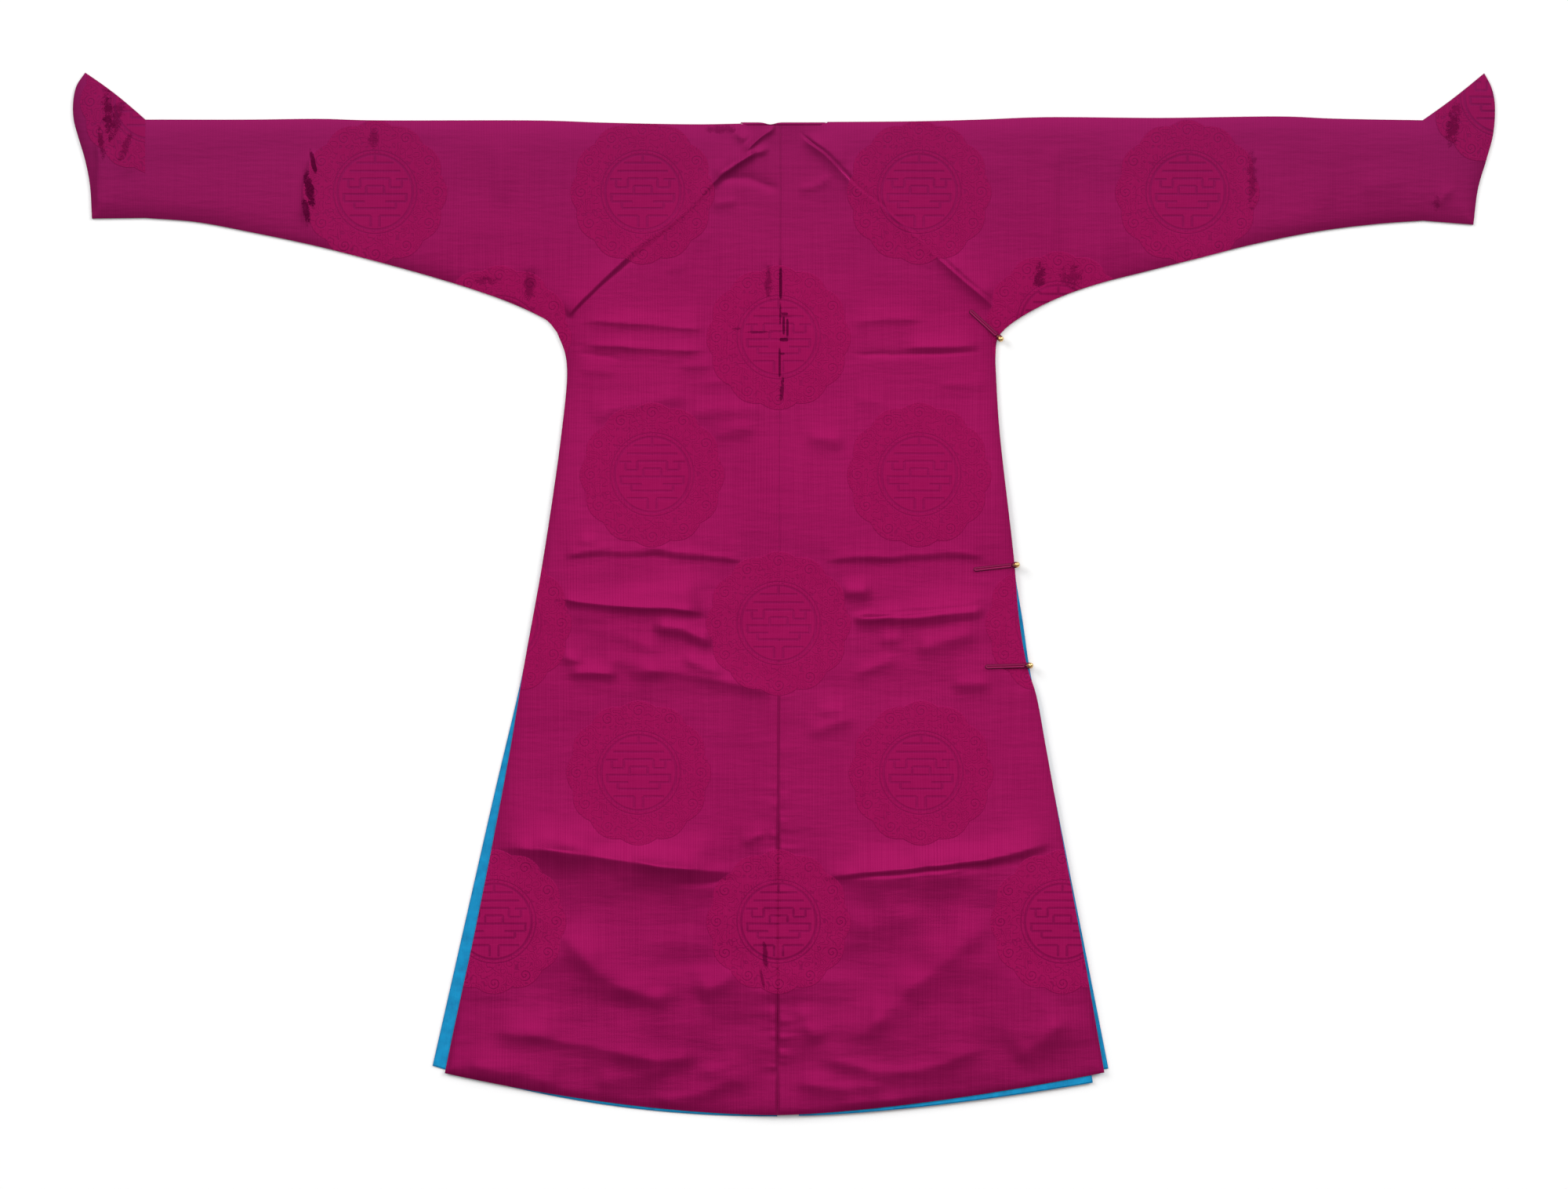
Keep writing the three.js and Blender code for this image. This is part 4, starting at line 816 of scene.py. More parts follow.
# %% The fronts and the overlap
def front_patches(name, middle):
    """A front half: the shoulder patch, and rows that turn from the round neck into level ones."""
    half = "left" if name.endswith("left") else "right"
    down, across = np.linspace(0, 1, 33), shares(520, 5, 11, 5, 30)
    seam = SLEEVE_SEAM - HALF_GAP
    neck_point = where(shoulder[half], 0, NECK_HALF_WIDTH)[0]
    top = where(shoulder[half], 0, NECK_HALF_WIDTH + (seam - NECK_HALF_WIDTH) * across)
    bottom = under_sleeve(half, seam, across)
    first = straight(neck_point, bottom[0], down)
    yoke = coons(first, straight(top[-1], bottom[-1], down), top, bottom, across, down)
    quarter = np.linspace(0, math.pi / 2, 37)
    middle_drop = NECK_DEPTH + (bottom[0, 1] - NECK_DEPTH) * down
    inner = middle(middle_drop)
    upper = np.stack([
        inner[:, None] + (first[:, 0] - inner)[:, None] * np.sin(quarter),
        first[:, 1:] + (middle_drop - first[:, 1])[:, None] * np.cos(quarter),
    ], -1)
    rows = rows_down(name, [], 9.0, 9.0, 9.0)
    lower = body_grid(name, middle, rows, np.sin(quarter))
    return [mirrored(yoke, half), mirrored(np.vstack([upper, lower[1:]]), half)]


def overlap_patch():
    """The outer front panel that closes at the wearer's right side."""
    across, down = np.linspace(0, 1, 45), np.linspace(0, 1, 131)
    drop = OVERLAP_TOP[0][1] + (HEM_MIDDLE["overlap"] - OVERLAP_TOP[0][1]) * down
    first = np.column_stack([right_seam(drop), drop])
    top = curve_through(OVERLAP_TOP)(across)
    top[0] = first[0]
    start, end = SIDES["overlap"][0][1], SIDES["overlap"][-1][1]
    last = where(side["overlap"], 1, start + (end - start) * down)
    return coons(first, last, top, hem("overlap", first[-1, 0], across), across, down)


def right_front_top(points):
    """The right front lies on the overlap, and comes down to the ground along its sleeve."""
    x, drop = points.T
    lined = smooth(LINING_TOP - 34, LINING_TOP - 4, drop)
    return CLOTH + LAYER * on_overlap(x, drop) * (1 + lined)


wall("front_left", front_patches("front_left", left_seam), on_ground, face_up=False)
wall("overlap", [overlap_patch()], on_ground, face_up=False)
wall("front_right", front_patches("front_right", flap_edge), right_front_top, face_up=False)

# %% [markdown]
# The blue lining shows at the slits and along the hem, a hair's breadth inside the turned edge of
# the silk. It is a sheet of its own on each of the three front panels.

# %% The lining
def lining_patch(name, middle):
    """A lining from the hips down, set in from its panel's edges."""
    across, down = np.linspace(0, 1, 41), np.linspace(0, 1, 81)
    corner = SIDES[name][-1]
    last = where(side[name], 1, LINING_TOP + (corner[1] - LINING_TOP) * down)
    last -= np.column_stack([np.full(len(down), LINING_INSET), LINING_INSET * down])
    drop = LINING_TOP + (HEM_MIDDLE[name] - LINING_INSET - LINING_TOP) * down
    first = np.column_stack([middle(drop), drop])
    bottom = hem(name, first[-1, 0], across) - [0, LINING_INSET]
    bottom[:, 0] = first[-1, 0] + (last[-1, 0] - first[-1, 0]) * across
    return coons(first, last, straight(first[0], last[0], across), bottom, across, down)


def lining_top(sheets):
    """The upper side of a lining that lies on this many sheets."""
    return lambda points: np.full(len(points), LAYER * sheets + CLOTH)


wall("lining_left", [mirrored(lining_patch("front_left", left_seam), "left")], lining_top(1))
wall("lining_overlap", [lining_patch("overlap", right_seam)], lining_top(1))
wall("lining_right", [lining_patch("front_right", flap_edge)], lining_top(3))

# %% [markdown]
# The neck is bound with a narrow strip of the same silk, folded over the raw edge. On the back its
# section is a low arch, so the grid's upper side is raised by one minus the square of the way
# across. The strip round the neck of the fronts lies flat on the ground.

# %% The neck binding
def back_binding():
    """The strip along the neck edge of the back, dented where it is creased, with pointed ends."""
    along, share = np.linspace(-1, 1, 97) * NECK_HALF_WIDTH, np.linspace(0, 1, 9)[:, None]
    lower = np.where(along < 0, neck_edge("left", -along), neck_edge("right", along)) - 0.05
    upper = np.minimum(0.7 + 3.0 * np.exp(-(((along + 20) / 9) ** 2)), lower - 0.1)
    middle_drop = NECK_DIP - BINDING_WIDTH / 2
    grid = np.stack([np.broadcast_to(along, (9, 97)), upper + (lower - upper) * share], -1)

    def top(points):
        """Its height over the sheets below it: one cloth and a low arch across its width."""
        across = 2 * (points[:, 1] - middle_drop) / BINDING_WIDTH
        return LAYER * sheets_under(points) + CLOTH + BINDING_ARCH * np.clip(1 - across**2, 0, 1)

    wall("neck_binding_back", [grid], top)


def front_binding():
    """The strip round the hole in the front, from shoulder to shoulder."""
    angle = np.linspace(0, math.pi / 2 * 6 / 7, 40)
    insets = BINDING_CLEAR + np.linspace(0, 1, 9) * BINDING_WIDTH

    def ring(half, middle, inset):
        """The neck's edge drawn in by an inset, from the middle to the shoulder."""
        neck_x, neck_y = where(shoulder[half], 0, NECK_HALF_WIDTH)[0]
        out = middle(NECK_DEPTH) + (neck_x - inset - middle(NECK_DEPTH)) * np.sin(angle)
        return np.column_stack([out, neck_y + (NECK_DEPTH - inset - neck_y) * np.cos(angle)])

    rows = []
    for inset in insets:
        left = ring("left", left_seam, inset) * [-1, 1]
        right = ring("right", flap_edge, inset)
        rows.append(np.vstack([left[::-1], right]))
    wall("neck_binding_front", [np.stack(rows)], on_ground)


back_binding()
front_binding()

# %% [markdown]
# Nodes are easier to read as sums, so a small class wraps a socket and gives it Python's signs. Each
# sign adds one Math node. Everything else, from a texture to the shader itself, comes from one
# method that takes a node's type, its settings and what goes into its sockets.

# %% Shader sums
class Value:
    """An output of a node, with Python's signs for sums on numbers."""

    def __init__(self, shader, socket):
        self.shader, self.socket = shader, socket

    def math(self, operation, *values):
        """One Math node."""
        return self.shader.node("ShaderNodeMath", {"operation": operation}, values)

    def __add__(self, other):
        return self.math("ADD", self, other)

    def __radd__(self, other):
        return self.math("ADD", other, self)

    def __sub__(self, other):
        return self.math("SUBTRACT", self, other)

    def __rsub__(self, other):
        return self.math("SUBTRACT", other, self)

    def __mul__(self, other):
        return self.math("MULTIPLY", self, other)

    def __rmul__(self, other):
        return self.math("MULTIPLY", other, self)

    def __truediv__(self, other):
        return self.math("DIVIDE", self, other)

    def __pow__(self, other):
        return self.math("POWER", self, other)

    def __abs__(self):
        return self.math("ABSOLUTE", self)

    def sin(self):
        """The sine of this number."""
        return self.math("SINE", self)

    def cos(self):
        """The cosine of this number."""
        return self.math("COSINE", self)

    def fraction(self):
        """The part after the point."""
        return self.math("FRACT", self)

    def at_least(self, other):
        """The larger of two numbers."""
        return self.math("MAXIMUM", self, other)

    def at_most(self, other):
        """The smaller of two numbers."""
        return self.math("MINIMUM", self, other)

    def below(self, limit, softness):
        """1 where this is under a limit and 0 over it, with a soft step of the given width."""
        return self.shader.node("ShaderNodeMath", {"operation": "MULTIPLY_ADD", "use_clamp": True},
                                (limit - self, 1 / softness, 0.5))


class Shader:
    """A material whose nodes are made one call at a time."""

    def __init__(self, name):
        self.material = bpy.data.materials.new(name)
        self.material.use_nodes = True
        self.nodes, self.links = self.material.node_tree.nodes, self.material.node_tree.links
        self.nodes.clear()

    def node(self, kind, settings=None, values=(), output=0):
        """One node: its settings are set first, then a number or a link for each socket."""
        new = self.nodes.new(kind)
        for name, value in (settings or {}).items():
            setattr(new, name, value)
        for name, value in values.items() if isinstance(values, dict) else enumerate(values):
            if isinstance(value, Value):
                self.links.new(value.socket, new.inputs[name])
            else:
                new.inputs[name].default_value = value
        return Value(self, new.outputs[output])

    def mix(self, factor, a, b):
        """A colour between two colours."""
        return self.node("ShaderNodeMix", {"data_type": "RGBA"}, {0: factor, 6: a, 7: b}, output=2)

    def noise(self, position, scale, detail=2.0):
        """Smooth noise between 0 and 1."""
        return self.node("ShaderNodeTexNoise", {}, {"Vector": position, "Scale": scale, "Detail": detail})

    def grain(self, position, scale, detail=1.0):
        """Noise whose spots are stretched by three scales."""
        return self.noise(self.stretched(position, scale), 1.0, detail)

    def position(self):
        """The place on the piece, in metres."""
        return self.node("ShaderNodeTexCoord", output=3)

    def split(self, vector):
        """The three numbers of a vector."""
        parts = self.node("ShaderNodeSeparateXYZ", {}, [vector])
        return [Value(self, parts.socket.node.outputs[i]) for i in range(3)]

    def stretched(self, vector, scale):
        """A vector scaled by three numbers."""
        return self.node("ShaderNodeVectorMath", {"operation": "MULTIPLY"}, [vector, scale])

    def bump(self, height):
        """A normal from a height in metres."""
        return self.node("ShaderNodeBump", {}, {"Strength": 1.0, "Distance": 1.0, "Height": height})

    def finish(self, **sockets):
        """The surface: each name is a Principled socket, with underscores for spaces."""
        values = {name.replace("_", " "): value for name, value in sockets.items()}
        surface = self.node("ShaderNodeBsdfPrincipled", {}, values)
        output = self.nodes.new("ShaderNodeOutputMaterial")
        self.links.new(surface.socket, output.inputs["Surface"])
        return self.material


def linear(red, green, blue):
    """A colour as seen on a screen, 0 to 255, as the light that a shader works with."""
    c = np.array([red, green, blue]) / 255
    return (*np.where(c > 0.04045, ((c + 0.055) / 1.055) ** 2.4, c / 12.92), 1.0)


print("magenta as light:", np.round(linear(157, 29, 87), 3).tolist())

# %% [markdown]
# Damask has one colour and two weaves. The ground is satin, whose long floats mirror the light, so
# it turns bright or dark as it tilts. The figure is the reverse weave, which is matt and hardly
# changes. So the medallions need no colour of their own: a mask mixes a glossy, partly metallic
# satin with a rough plain weave. The mask is drawn with sums in the medallion's own map: a scalloped
# disc, a ring, a fret of bars in the middle, and a wreath of curled clouds.

# %% The medallion
BARS = [(0.0, 0.25, 0.39), (0.0, 0.34, 0.28), (0.0, 0.2, 0.18), (0.28, 0.44, 0.17), (0.0, 0.12, 0.08),
        (0.2, 0.36, 0.06), (0.0, 0.44, -0.03), (0.14, 0.42, -0.13), (0.0, 0.28, -0.22), (0.06, 0.34, -0.32)]
POSTS = [(0.0, 0.39, 0.5), (0.2, 0.06, 0.18), (0.36, 0.06, 0.17), (0.12, -0.03, 0.08), (0.42, -0.13, -0.03),
         (0.28, -0.22, -0.13), (0.06, -0.47, -0.32)]


def medallion(shader, position):
    """From the map's polar coordinates: 1 where the figure's weave shows and 0 in the satin, and the
    lines of satin that draw the figure."""
    u, v, _ = shader.split(position)
    r = (u * u + v * v) ** 0.5
    angle = shader.node("ShaderNodeMath", {"operation": "ARCTAN2"}, (v, u))
    scallops = 0.915 + 0.055 * abs((angle * 6).cos())
    disc = (r - scallops).below(0, 0.012)
    ring = abs(r - 0.505).below(0.016, 0.014)
    outer_ring = abs(r - 0.56).below(0.008, 0.012)
    x = abs(u)
    strokes = []
    for left, right, level in BARS:
        strokes.append(abs(v - level).below(0.016, 0.014) * x.below(right, 0.01) * (left - x).below(0, 0.01))
    for across, low, high in POSTS:
        strokes.append(abs(x - across).below(0.016, 0.014) * v.below(high, 0.01) * (low - v).below(0, 0.01))
    bars = strokes[0]
    for stroke in strokes[1:]:
        bars = bars.at_least(stroke)
    inside = r.below(0.52, 0.01)
    turn = 2 * math.pi / 12
    sector = ((angle / turn + 0.5).fraction() - 0.5) * turn
    along, aside = r * sector.cos() - 0.83, r * sector.sin()
    reach = (along * along + aside * aside) ** 0.5
    twist = shader.node("ShaderNodeMath", {"operation": "ARCTAN2"}, (aside, along))
    spiral = abs((reach / 0.05 + twist / (2 * math.pi)).fraction() - 0.5).below(0.15, 0.1)
    curls = spiral * reach.below(0.085, 0.01)
    swirl = shader.noise(shader.stretched(position, (1, 1, 0)), 6.5, 1.0)
    clouds = abs((swirl * 9).fraction() - 0.5).below(0.1, 0.1) * (1 - reach.below(0.095, 0.02)) * (1 - inside)
    lines = (bars * inside).at_least(ring).at_least(outer_ring).at_least(curls).at_least(clouds * 0.8)
    return disc * (1 - 0.8 * lines), disc * lines


# %% [markdown]
# The rest of the silk's surface is in its threads: uneven warp threads leave fine streaks down the
# length, short wrinkles run across, and a weave shows from close by. Streaks change the colour
# slightly; wrinkles and weave are bump, in metres. Painted shade darkens and dulls the silk towards
# the cuffs and the shoulders, and darkens its satin ground below the great fold. Small dark places are
# painted shade too, in the grooves, pinches and folds where the satin lies in shade, with some dark
# strokes of the figure beside the centre seam. Each such place is a row of the table.

# %% The silk
SATIN = (0.205, 0.003, 0.058, 1), (0.305, 0.009, 0.092, 1)
PLAIN_WEAVE = (0.27, 0.004, 0.070, 1), (0.33, 0.007, 0.088, 1)
FALLOFF_SHADE_COLOUR, DARK_LINES_AND_SHADE, DARKEST = (0.155, 0.009, 0.070, 1), (0.10, 0.001, 0.032, 1), (0.07, 0.001, 0.022, 1)
RIB_STEP = 0.0036
SHADE_PLACES_AND_STROKES = [
    # x, drop, half width and half length in mm, lean, how ragged, and how dark
    # painted shade in the grooves, pinches and folds of the cuffs, the sleeves, the underarms and the neck
    (-999, -8, 9, 42, -0.10, 3.0, 0.85), (-1010, 32, 5, 26, -0.14, 3.0, 0.75),
    (-988, -6, 12, 30, 0.25, 2.8, 0.6), (-974, 36, 6, 26, 0.35, 2.8, 0.55),
    (-696.5, 60, 4, 19, -0.22, 1.3, 1.0), (-702, 100, 7.5, 30, -0.2, 1.9, 1.0),
    (-707, 132, 6, 22, -0.15, 2.4, 0.9), (-607, 24, 9, 18, 0, 3.0, 0.5),
    (989, 10, 11, 30, 0.1, 2.8, 0.7), (995, -16, 8, 16, 0, 3.0, 0.5), (965, 120, 6, 12, 0, 3.0, 0.5),
    (693, 86, 8, 48, 0, 3.2, 0.5), (378, 230, 10, 22, 0, 2.8, 0.75), (425, 229, 18, 20, 0, 3.0, 0.5),
    (-377, 243, 10, 24, 0, 2.8, 0.6), (-441, 235, 22, 8, 0, 3.0, 0.5), (-92, 11, 26, 7, 0, 2.4, 0.5),
    # Beside the centre seam: strokes of the woven figure and a hatched row, painted dark as the satin looks
    # in shade, and painted shade at the end of the vent's fold
    (-5.0, 239, 2.3, 24, 0, 0.5, 1.0), (-5.5, 284, 1.8, 18, 0.02, 1.6, 0.8),
    (-6.5, 356, 1.7, 22, 0, 0.5, 0.9), (-0.5, 301, 1.9, 14, 0, 0.9, 0.95),
    (5, 304, 1.9, 13, 0, 0.9, 0.9), (0, 322, 6.5, 3, 0, 0.9, 0.9),
    (1, 284, 5, 2.2, 0, 0.9, 0.8), (-3.5, 343, 4.5, 1.8, 0, 0.6, 0.7), (-3, 396, 3.2, 22, 0.08, 1.8, 0.8),
    (-23, 240, 6, 26, 0, 2.6, 0.55), (-40, 311, 26, 2.2, 0, 2.0, 0.6), (-70, 306, 10, 2, 0, 2.0, 0.5),
    (-28, 1233, 4.5, 22, -0.08, 1.8, 0.75), (-32, 1268, 2.4, 14, -0.2, 1.0, 0.6),
]


def shade_places_and_strokes(shader, x, drop):
    """Small places of painted shade, where the satin lies in shade in grooves, pinches and folds, and
    dark strokes of the figure: ellipses that lean, ragged as far as the table says, and broken up by curled
    lines of noise."""
    place_in_mm = shader.node("ShaderNodeCombineXYZ", {}, [x, drop, 0.0])
    ragged = shader.noise(place_in_mm, 0.12, 3.0) - 0.5
    curls = abs((shader.noise(place_in_mm, 0.16, 1.0) * 8).fraction() - 0.5) * 2
    total = None
    for middle, at, wide, long, lean, torn, dark in SHADE_PLACES_AND_STROKES:
        down = drop - at
        across = (x - middle + down * lean) / wide
        power = 4 if torn < 1 else 2
        far = abs(across) ** power + abs(down / long) ** power
        patch = (far + ragged * torn + curls * (0.3 * torn)).below(1, 0.35) * dark
        total = patch if total is None else total.at_least(patch)
    return total * (1 - curls * 0.15)


def silk():
    """Magenta damask: satin ground and plain-weave figure. Its colours are mixed in turn: the two
    weaves, painted shade towards the cuffs and shoulders, painted shade on the ground below the great
    fold with the figure's dark lines, and painted shade in small dark places, with dark strokes of the
    figure."""
    s = Shader("silk_damask")
    uv = s.node("ShaderNodeUVMap", {"uv_map": "medallion"})
    place_on_cloth = s.position()
    figure, lines = medallion(s, uv)
    across, along, _ = s.split(place_on_cloth)
    drift = s.grain(place_on_cloth, (7, 1.6, 0))
    ribs = (across * (2 * math.pi / RIB_STEP) + drift * 60).sin() * 0.5 + 0.5
    warp = s.grain(place_on_cloth, (520, 9, 0), 2.0)
    weft = s.grain(place_on_cloth, (30, 420, 0))
    patches = s.noise(place_on_cloth, 3.2, 3.0)
    shade = 0.5 + (warp - 0.5) * 0.8 + (ribs - 0.5) * 0.3 + (patches - 0.5) * 0.5
    drop = SHOULDER_Y - along / MM
    # painted shade: the silk is darker and duller towards the cuffs and the shoulders, where the light falls
    # off
    painted_falloff_shade = (((abs(across) - 0.45) * 0.7).at_least(0) + ((285 - drop) / 300).at_least(0)).at_most(1.35)
    # painted shade on the satin ground below the great fold
    shade_below_fold = ((drop - 1080) / 160).at_least(0).at_most(1) * (1 - figure * 0.75)
    satin = s.mix(shade, *SATIN)
    plain = s.mix(shade + (weft - 0.5) * 0.8, *PLAIN_WEAVE)
    colour = s.mix(figure, satin, plain)
    # mix in the painted shade towards the cuffs and the shoulders
    colour = s.mix(painted_falloff_shade * (1 - figure * 0.5) * 0.5, colour, FALLOFF_SHADE_COLOUR)
    # mix in the painted shade below the fold, and the figure's lines, which are drawn darker, more so in the
    # skirt
    colour = s.mix((shade_below_fold * 0.12).at_least(lines * (shade_below_fold * 0.3 + 0.16)), colour, DARK_LINES_AND_SHADE)
    # mix in the painted shade of the small dark places and the dark strokes of the figure
    colour = s.mix(shade_places_and_strokes(s, across / MM, drop), colour, DARKEST)
    wrinkles = s.grain(place_on_cloth, (24, 130, 0), 2.0)
    weave = s.grain(place_on_cloth, (1500, 1500, 0), 0.0)
    height = wrinkles * 0.00024 + weave * 0.00003 + figure * 0.0003
    return s.finish(
        Base_Color=colour,
        Metallic=0.5 - figure * 0.46,
        Roughness=0.37 + figure * 0.23 + (warp - 0.5) * 0.06,
        Normal=s.bump(height),
        Specular_IOR_Level=0.06,
        Specular_Tint=(0.95, 0.1, 0.45, 1),
    )


# %% [markdown]
# The lining is a thin plain silk in bright blue, lightly crumpled. The cords are strips of magenta
# silk rolled tight, so their thread runs round them at a slant; their colour carries painted light
# and shade. The buttons are gilt brass, worn unevenly.

# %% The lining, the cords and the gilt
def lining():
    """Bright blue plain silk."""
    s = Shader("lining_silk")
    position = s.position()
    crumple = s.grain(position, (60, 60, 0), 3.0)
    thread = s.grain(position, (900, 60, 0))
    shade = 0.5 + (crumple - 0.5) * 1.2 + (thread - 0.5) * 0.5
    return s.finish(
        Base_Color=s.mix(shade, linear(0, 110, 160), linear(8, 154, 208)),
        Roughness=0.5 + (thread - 0.5) * 0.1,
        Normal=s.bump(crumple * 0.0008 + thread * 0.00004),
        Specular_IOR_Level=0.15,
    )


def cord_silk(name, outer, inner):
    """Rolled magenta silk, with a painted highlight where the doubled cord meets and painted shade along its
    outer sides.
    """
    s = Shader(name)
    along, around, _ = s.split(s.node("ShaderNodeUVMap", {"uv_map": "cord"}))
    # painted highlight on the inner side of each cord, painted shade on its outer side
    painted_light_share = (0.5 - (around * 2 * math.pi).cos() * 0.5) ** 0.8
    twist = ((along * 1.6 + around * 2) * 2 * math.pi).sin() * 0.5 + 0.5
    fibre = s.grain(s.position(), (700, 700, 700), 2.0)
    shade = painted_light_share * 0.9 + twist * 0.06 + (fibre - 0.5) * 0.4
    return s.finish(
        Base_Color=s.mix(shade, outer, inner),
        Roughness=0.6 + (fibre - 0.5) * 0.2,
        Normal=s.bump(twist * 0.00002 + fibre * 0.00003),
        Specular_IOR_Level=0.15,
    )


def gilt():
    """Gilt brass, softly polished."""
    s = Shader("gilt_brass")
    position = s.position()
    wear = s.noise(position, 420, 3.0)
    pits = s.noise(position, 1600, 2.0)
    return s.finish(
        Base_Color=s.mix(wear, linear(206, 160, 92), linear(244, 208, 150)),
        Metallic=1.0,
        Roughness=0.22 + wear * 0.16,
        Normal=s.bump(pits * 0.00006),
    )


materials = {
    "silk": silk(),
    "lining": lining(),
    # each cord's first colour is its painted shade, the second its painted highlight
    "tail": cord_silk("doubled_cord", linear(78, 2, 40), linear(166, 28, 94)),
    "loop": cord_silk("loop_cord", linear(60, 2, 30), linear(112, 14, 62)),
    "button": gilt(),
}
print("materials:", ", ".join(m.name for m in materials.values()))

# %% [markdown]
# A toggle is a gilt ball whose shank is held by a doubled cord, sewn down on the back, and a cord
# loop that comes from the overlap and goes round the shank. A ball is a profile turned about its
# axis. A cord is a circle carried along a path, with a frame that turns as little as it can, so that
# the thread's slant doesn't jump.

# %% Turned and carried shapes
def add_grid(name, grid, uv_name):
    """A mesh from a grid of points whose columns close round and whose ends are capped, with a map of
    its two shares."""
    rows, columns = grid.shape[:2]
    ids = np.arange(rows * columns).reshape(rows, columns)
    right = np.roll(ids, -1, axis=1)
    quads = np.stack([ids[:-1], right[:-1], right[1:], ids[1:]], -1).reshape(-1, 4)
    points = grid.reshape(-1, 3)
    faces = [*quads.tolist(), ids[0][::-1].tolist(), ids[-1].tolist()]
    mesh = bpy.data.meshes.new(name)
    mesh.from_pydata((points * MM).tolist(), [], faces)
    u, v = np.meshgrid(np.arange(len(ids) - 1), np.arange(columns), indexing="ij")
    corners = [(u, v), (u, v + 1), (u + 1, v + 1), (u + 1, v)]
    uv = np.stack([np.stack([a, b / columns], -1) for a, b in corners], -2).reshape(-1, 2)
    caps = np.zeros((len(mesh.loops) - len(uv), 2))
    mesh.uv_layers.new(name=uv_name).data.foreach_set("uv", np.vstack([uv, caps]).ravel())
    mesh.polygons.foreach_set("use_smooth", np.ones(len(mesh.polygons), bool))
    mesh.update()
    return in_scene(name, mesh)


def carried(path, radius, sides=14):
    """A circle carried along a path. Each frame is the last one turned by the least angle that
    brings its tangent in line."""
    tangent = np.gradient(path, axis=0)
    tangent /= np.linalg.norm(tangent, axis=1)[:, None]
    normal = np.cross(tangent[0], [0.0, 0.0, 1.0])
    if np.linalg.norm(normal) < 0.1:
        normal = np.cross(tangent[0], [1.0, 0.0, 0.0])
    frames = []
    for t in tangent:
        normal = normal - t * normal.dot(t)
        normal = normal / np.linalg.norm(normal)
        frames.append(normal)
    across = np.array(frames)
    up = np.cross(tangent, across)
    angle = np.linspace(0, 2 * math.pi, sides, endpoint=False)[None, :, None]
    radius = np.broadcast_to(radius, len(path))[:, None, None]
    return path[:, None] + radius * (np.cos(angle) * across[:, None] - np.sin(angle) * up[:, None])


def resampled(points, step):
    """Points at even steps along a smooth curve through the given points."""
    dense = curve_through(points)(np.linspace(0, 1, 400))
    run = np.concatenate([[0], np.cumsum(np.linalg.norm(np.diff(dense, axis=0), axis=1))])
    at = np.linspace(0, run[-1], int(run[-1] / step) + 1)
    return np.column_stack([np.interp(at, run, dense[:, k]) for k in range(3)])


# %% [markdown]
# Each ball rests on the edge of the back with its middle just past it, and its shank leans down to
# the cloth. Its place comes from the side line and from the height of its own node in the frame. A
# row holds the ball's drop, how far its middle lies past the edge, and where the cord ends: how far
# out and at what drop.

# %% Buttons, doubled cords and loops
BUTTONS = [(321, 5.0, 276, 280), (655, 3.6, 282, 662), (804, 5.0, 299, 806)]
BALL_RADIUS = 4.3
SHANK_RADIUS, SHANK_LENGTH = 1.5, 2.9
TAIL_RADIUS, TAIL_SPREAD = 1.65, 1.75
LOOP_RADIUS, LOOP_ALONG, LOOP_REACH = 0.9, 5.7, 3.2
LOOP_ARM, LOOP_SPREAD = [(-3, -0.9), (-1.9, 0.55), (0, 1.2)], 3.5


def cloth_height(xy):
    """The upper side of the right half of the back at frame places, in millimetres."""
    points = np.column_stack([xy[:, 0], SHOULDER_Y - xy[:, 1]])
    return back_top(points, "right")


def button(name, middle, axis):
    """A ball with a collar and a shank, turned about the axis that leans down to the cloth."""
    angle = np.linspace(-math.pi / 2, math.pi / 2 - math.asin(SHANK_RADIUS / BALL_RADIUS), 30)
    ball = np.column_stack([BALL_RADIUS * np.cos(angle), BALL_RADIUS * np.sin(angle)])
    ball[0, 0] = 0.02
    end = BALL_RADIUS + SHANK_LENGTH
    collar = [(2.1, 4.05), (2.2, 4.35), (2.0, 4.7), (SHANK_RADIUS, 4.9), (1.3, 6.2)]
    tip = [(1.45, end - 0.3), (1.1, end), (0.02, end)]
    profile = np.vstack([ball, collar, tip])
    turn = np.linspace(0, 2 * math.pi, 40, endpoint=False)
    side_way = np.cross(axis, [0.0, 0.0, 1.0])
    side_way /= np.linalg.norm(side_way)
    up = np.cross(side_way, axis)
    round_way = np.cos(turn)[:, None] * side_way + np.sin(turn)[:, None] * up
    grid = middle + profile[:, :1, None] * round_way[None] + profile[:, 1][:, None, None] * axis
    return add_grid(name, grid, "turned")


